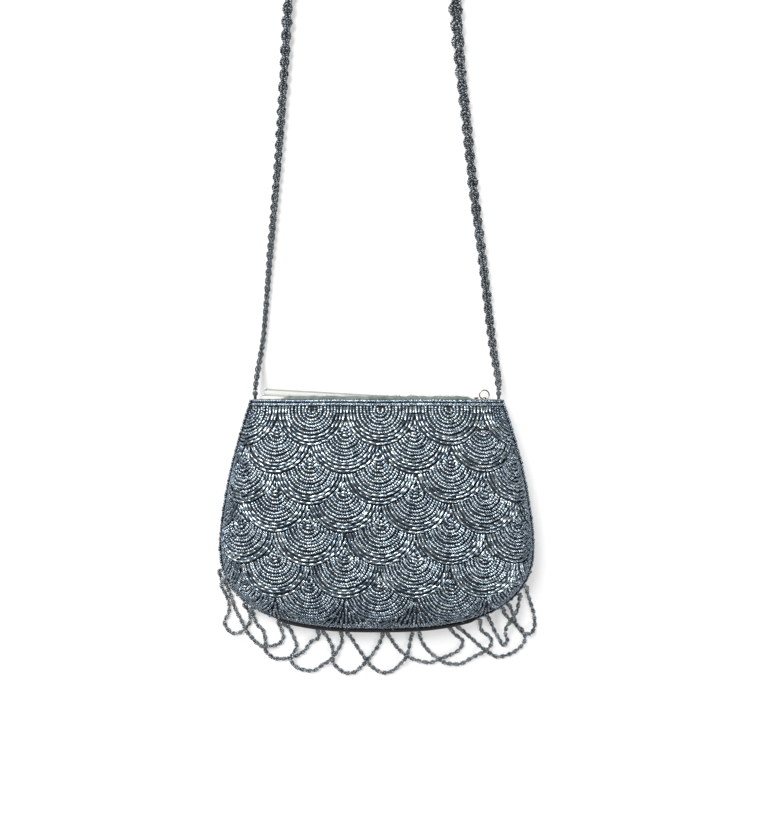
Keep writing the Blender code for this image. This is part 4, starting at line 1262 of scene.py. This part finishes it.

# %% [markdown]
# ## Cloth under the beads
#
# Behind the beads is the cloth that they are sewn on, then the lining, and at the mouth the two tapes
# of the zip. Each is a closed sheet at its real thickness, laid on the same formula at its own depth,
# with a map of its places in millimetres for the weave. A cloth solver could drape it, but here the
# stuffed pouch already says where the cloth must be.

# %% A sheet at its depth
def lattice_faces(columns, rows):
    """Quads of a closed sheet: two layers of places and the walls between them."""
    step = columns + 1
    layer = step * (rows + 1)
    quads = []
    for r in range(rows):
        for c in range(columns):
            a = r * step + c
            quads.append((a, a + step, a + step + 1, a + 1))
            quads.append((a + layer, a + 1 + layer, a + step + 1 + layer, a + step + layer))
    rim = list(range(columns))
    rim += [r * step + columns for r in range(rows)]
    rim += [rows * step + c for c in range(columns, 0, -1)]
    rim += [r * step for r in range(rows, 0, -1)]
    for a, b in zip(rim, rim[1:] + rim[:1]):
        quads.append((a, b, b + layer, a + layer))
    return quads


BOTTOM_CROWDING = 1.8


def hand_over(shell, data, finish):
    """Gives a worked mesh to its data, with its faces turned outwards, smooth and finished."""
    bmesh.ops.recalc_face_normals(shell, faces=shell.faces[:])
    shell.to_mesh(data)
    shell.free()
    data.shade_smooth()
    data.materials.append(finish)


def cloth_sheet(name, face, depth, thickness, top, bottom, grid, finish, node, sides=1.0,
                folds=None):
    """A closed sheet of cloth on a face, from one share down the pouch to another."""
    columns, rows = grid
    along = np.sin(np.linspace(-math.pi / 2, math.pi / 2, columns + 1)) * sides
    level = np.linspace(0.0, 1.0, rows + 1)
    if bottom == 1.0:
        level = 1.0 - (1.0 - level) ** BOTTOM_CROWDING
    across, level = np.meshgrid(along, level)
    down = mix(top(across), bottom, level)
    relief = folds(across, down) if folds else 0.0
    layers = [face_point(face, across, down, inset + relief) for inset in (depth, depth + thickness)]
    verts = np.concatenate(layers).reshape(-1, 3)
    data = bpy.data.meshes.new(name)
    data.from_pydata(verts.tolist(), [], lattice_faces(columns, rows))
    uv = data.uv_layers.new(name="cloth")
    corner = np.zeros(len(data.loops), int)
    data.loops.foreach_get("vertex_index", corner)
    uv.data.foreach_set("uv", (verts[corner, :2] / MM).astype(np.float32).ravel())
    shell = bmesh.new()
    shell.from_mesh(data)
    hand_over(shell, data, finish)
    piece = add_piece(name, data, "bag", node)


# %% Ground cloth and lining
PANEL_INSET = 2.2 * MM
PANEL_THICKNESS = 1.0 * MM
LINING_INSET = 3.6 * MM
LINING_THICKNESS = 0.5 * MM
LINING_TOP_DROP = 5.5 * MM
SATIN_SLACK = 0.35 * MM
SATIN_WAVES = [(1.0, 9.0, 4.0, 0.0), (0.6, 17.0, -6.0, 1.0)]
CLOTH_GRID = (96, 64)


def mouth_edge(across):
    return np.zeros_like(across)


def lining_edge(across):
    return np.full_like(across, share_down(MOUTH_REACH - LINING_TOP_DROP))


def satin_folds(across, down):
    """Soft slack in the lining, deepest in the middle of the face."""
    room = (1.0 - across ** 2) * (1.0 - np.clip(down, 0.0, 1.0) ** 2)
    waves = [size * np.sin(turns_across * across + turns_down * down + start)
             for size, turns_across, turns_down, start in SATIN_WAVES]
    return SATIN_SLACK * room * (1.0 + sum(waves) / sum(size for size, *_ in SATIN_WAVES))


for face in ("front", "back"):
    cloth_sheet(face + "_ground_cloth", face, PANEL_INSET, PANEL_THICKNESS, mouth_edge, 1.0,
                CLOTH_GRID, GROUND_CLOTH, face + "_panel")
    cloth_sheet(face + "_satin", face, LINING_INSET, LINING_THICKNESS, lining_edge, 1.0,
                CLOTH_GRID, SATIN, "lining_" + face, folds=satin_folds)

# %% [markdown]
# ## Tubes by Geometry Nodes
#
# The rolled lip and its fuzz, the fold along the seam, the zip's coils, the ring pull and the thread
# round the knots are all a round section that follows a line. One small tree does it: the line becomes
# a curve, and a circle follows it.

# %% The tree that gives a line its thickness
def tube_tree():
    tree, given = new_tree("tube_on_line", [("Sides", "Int"), ("Finish", "Material")])
    curve = add_node(tree, "GeometryNodeMeshToCurve", Mesh=given["Geometry"])
    ring = add_node(tree, "GeometryNodeCurvePrimitiveCircle", Resolution=given["Sides"], Radius=1.0)
    sweep = add_node(tree, "GeometryNodeCurveToMesh", Curve=curve.outputs[0],
                     Profile_Curve=ring.outputs["Curve"], Scale=named_field(tree, "thickness"),
                     Fill_Caps=True)
    return end_tree(tree, given, sweep)


TUBE_TREE = tube_tree()


def tube(name, lines, radius, finish, node=None, sides=10, body="bag", closed=False):
    """Tubes of a radius, one value or one for each point, along one or more lines, as one piece."""
    data = bpy.data.meshes.new(name + "_places")
    places, edges, widths = [], [], []
    for line in lines:
        first = len(places)
        places += line.tolist()
        widths += list(np.broadcast_to(radius, len(line)))
        edges += [(first + i, first + i + 1) for i in range(len(line) - 1)]
        if closed:
            edges.append((len(places) - 1, first))
    data.from_pydata(places, edges, [])
    layer = data.attributes.new("thickness", "FLOAT", "POINT")
    layer.data.foreach_set("value", np.array(widths, np.float32))
    grown(name, data, TUBE_TREE, {"Sides": sides, "Finish": finish}, body, node)


# %% The folded cloth along the seam, tucked in at the sides and bare along the bottom
FOLD_RADIUS_MM = (1.0, 1.35)
FOLD_INSET_MM = (0.9, -1.1)
FOLD_LIFT = 0.6 * MM
BARE_SHARES = (0.86, 0.70)


def within(across, ends):
    """0 outside the first share from the middle, 1 inside the second, and smooth in between."""
    return smooth((ends[0] - np.abs(across)) / (ends[0] - ends[1]))


across, down = shares_round(SIDE_SHARES, BOTTOM_SHARES)
bare = within(across, BARE_SHARES) * (down == 1.0)
fold_line = edge_line(mix(*FOLD_INSET_MM, bare) * MM)
fold_line[:, 2] += FOLD_LIFT * bare
tube("seam_fold", [fold_line], mix(*FOLD_RADIUS_MM, bare) * MM, GROUND_CLOTH,
     "front_panel")

# %% The rolled lip of the mouth, drawn back at both ends, and the fuzz on it
LIP_RADIUS = 1.10 * MM
LIP_INSET = 1.30 * MM
LIP_POINTS = 360
LIP_REACH = 0.95
LIP_LIFT = -0.80 * MM
LIP_SLACK = 1.50 * MM
LIP_SWELL = 0.2
SLACK_ENDS = (0.78, 0.70)
WOBBLE_RUN = 9
WOBBLE_SHIFT = 0.25 * MM
WOBBLE_SWELL = 0.10
FUZZ_HAIRS = 900
FUZZ_LENGTH_MM = (0.5, 1.5)
FUZZ_RADIUS = 0.05 * MM
FUZZ_WAY = np.array([0.0, 0.9, 0.4])
FUZZ_ROOT = 0.9
FUZZ_BEND = 0.35
HAIR_SHARES = np.linspace(0.0, 1.0, 4)[:, None]
for face in ("front", "back"):
    dice = np.random.default_rng(404)
    across = np.linspace(-LIP_REACH, LIP_REACH, LIP_POINTS)
    line = face_point(face, across, 0.0, LIP_INSET)
    steps = dice.normal(0.0, 1.0, LIP_POINTS + WOBBLE_RUN - 1)
    wobble = np.convolve(steps, np.ones(WOBBLE_RUN) / WOBBLE_RUN, "valid")
    slack = LIP_SLACK * within(across, SLACK_ENDS)
    line[:, 1] += LIP_LIFT + slack + WOBBLE_SHIFT * wobble
    width = (LIP_RADIUS + slack * LIP_SWELL) * (1.0 + WOBBLE_SWELL * wobble)
    line[:, 2] = np.maximum(line[:, 2], width)
    tube("rolled_lip_" + face, [line], width, LIP_CLOTH, face + "_panel")
    hairs = []
    for place in dice.choice(np.flatnonzero(slack > 0.0), FUZZ_HAIRS):
        way = unit(dice.normal(0.0, 1.0, 3) + FUZZ_WAY)
        bend = unit(dice.normal(0.0, 1.0, 3))
        root = line[place] + way * width[place] * FUZZ_ROOT
        length = dice.uniform(*FUZZ_LENGTH_MM) * MM
        hair = root + length * (HAIR_SHARES * way + FUZZ_BEND * HAIR_SHARES ** 2 * bend)
        hair[:, 2] = np.maximum(hair[:, 2], FUZZ_RADIUS)
        hairs.append(hair)
    tube("lip_fuzz_" + face, hairs, FUZZ_RADIUS, LIP_CLOTH, face + "_panel",
         sides=3)

# %% [markdown]
# ## The zip
#
# The tape is a narrow woven band, and the coil on its edge is a nylon wire wound round, one turn for
# each tooth. The slider, its ring pull and the stops are small pressed metal pieces with soft edges.

# %% Tapes and coils
TAPE_INSET = 4.7 * MM
TAPE_THICKNESS = 0.5 * MM
TAPE_TUCK = 11.0 * MM
TAPE_SIDE_SHARE = 0.98
TAPE_GRID = (120, 10)
COIL_RADIUS = 0.7 * MM
COIL_INSET = TAPE_INSET + TAPE_THICKNESS / 2
COIL_END = MOUTH_HALF_WIDTH - 9.1 * MM
COIL_TURN = 1.25 * MM
COIL_WIRE = 0.19 * MM
COIL_RISE = {"front": -1.0 * MM, "back": 2.6 * MM}
ZIP_TILT = math.radians(3.3)
TURN_POINTS = 9


def zip_y(face, x):
    """Height of a coil's centre line, which rises towards the left."""
    return MOUTH_REACH + COIL_RISE[face] - x * math.tan(ZIP_TILT)


def coil_line(face, x):
    y = zip_y(face, x)
    return face_point(face, x / side_width(y, COIL_INSET), share_down(y, COIL_INSET), COIL_INSET)


def tape_edge(face):
    """Where the tape starts, as a share down the pouch for each share across it."""
    def edge(across):
        y = zip_y(face, across * MOUTH_HALF_WIDTH) - COIL_RADIUS - SEAT_GAP
        return share_down(y, TAPE_INSET)
    return edge


for face in ("front", "back"):
    cloth_sheet("tape_" + face, face, TAPE_INSET, TAPE_THICKNESS, tape_edge(face),
                share_down(MOUTH_REACH - TAPE_TUCK), TAPE_GRID, TAPE_WEAVE,
                "zip_tape_" + face, sides=TAPE_SIDE_SHARE)
    turns = round(2 * COIL_END / COIL_TURN)
    x = np.linspace(-COIL_END, COIL_END, turns * TURN_POINTS + 1)
    middle = coil_line(face, x)
    turn = math.tau * np.arange(len(x)) / TURN_POINTS
    reach = COIL_RADIUS - COIL_WIRE
    middle[:, 1] += reach * np.cos(turn)
    middle[:, 2] += reach * np.sin(turn)
    # Painted shade: the back coil gets the darker copy of the nylon
    wire = PAINTED_SHADE_NYLON if face == "back" else NYLON
    tube("coil_" + face, [middle], COIL_WIRE, wire, "zip_coil_" + face, sides=5)

# %% Slider and stops with softened edges
EDGE_SOFTENING = 0.1 * MM
WELD = 0.02 * MM
FLAT_ANGLE = math.radians(1.0)
SHARP_ANGLE = math.radians(25.0)


def softened(node, name, finish, body):
    """A copy of a frame node with its doubles merged and its edges bevelled."""
    shell = bmesh.new()
    shell.from_mesh(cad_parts[node].data)
    bmesh.ops.remove_doubles(shell, verts=shell.verts[:], dist=WELD)
    bmesh.ops.dissolve_limit(shell, angle_limit=FLAT_ANGLE, verts=shell.verts[:],
                             edges=shell.edges[:])
    sharp = [edge for edge in shell.edges
             if len(edge.link_faces) == 2 and edge.calc_face_angle() > SHARP_ANGLE]
    bmesh.ops.bevel(shell, geom=sharp, offset=EDGE_SOFTENING, segments=2, affect="EDGES",
                    clamp_overlap=True)
    data = bpy.data.meshes.new(name)
    hand_over(shell, data, finish)
    add_piece(name, data, body, node)
    print(name + ":", len(data.polygons), "faces")


softened("zip_slider", "slider_body", METAL, "slider")
for node in ("zip_top_stop_front", "zip_top_stop_back", "zip_bottom_stop"):
    softened(node, node + "_block", STOP_METAL, "bag")

# %% The ring pull
RING_RADIUS = 3.1 * MM
RING_WIRE = 0.4 * MM
RING_POINTS = 72
low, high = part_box("zip_ring_pull")
middle = np.array((low + high) / 2)
turn = np.linspace(0.0, math.tau, RING_POINTS, endpoint=False)
ring_line = middle + RING_RADIUS * np.stack([np.cos(turn), np.sin(turn), 0 * turn], axis=-1)
tube("ring_pull_wire", [ring_line], RING_WIRE, METAL, "zip_ring_pull", sides=12,
     body="ring_pull", closed=True)

# %% [markdown]
# ## The knots
#
# Each end of the strap is bound to a mouth corner with thread, wound round into a small ball.

# %% Wind the knots
KNOT_X = MOUTH_HALF_WIDTH - 1.7 * MM
KNOT_BALL_RADIUS = 1.8 * MM
KNOT_STEM_RADIUS = 1.0 * MM
KNOT_CENTRE = 3.7 * MM
KNOT_THREAD = 0.2 * MM
KNOT_WINDS = 9
KNOT_POINTS = 260
POLE_SHARES = (0.04, 0.96)
STEM_SHARE = 0.3
BINDING_RADIUS = 0.23 * MM
for label, x in (("left", -KNOT_X), ("right", KNOT_X)):
    share = np.linspace(0.0, 1.0, KNOT_POINTS)
    pole = math.pi * mix(*POLE_SHARES, share)
    reach = KNOT_BALL_RADIUS - KNOT_THREAD
    height = KNOT_CENTRE - reach * np.cos(pole)
    stem = np.where(share < STEM_SHARE, KNOT_STEM_RADIUS - KNOT_THREAD, 0.0)
    radius = np.maximum(reach * np.sin(pole), stem)
    roll = math.tau * KNOT_WINDS * share
    spiral = np.stack([x + radius * np.cos(roll), MOUTH_REACH + SEAT_GAP + height,
                       MOUTH_SEAM_HEIGHT + radius * np.sin(roll)], axis=-1)
    tube("knot_thread_" + label, [spiral], BINDING_RADIUS, THREAD, sides=6)
    softened("strap_knot_" + label, "knot_ball_" + label, THREAD, "bag")
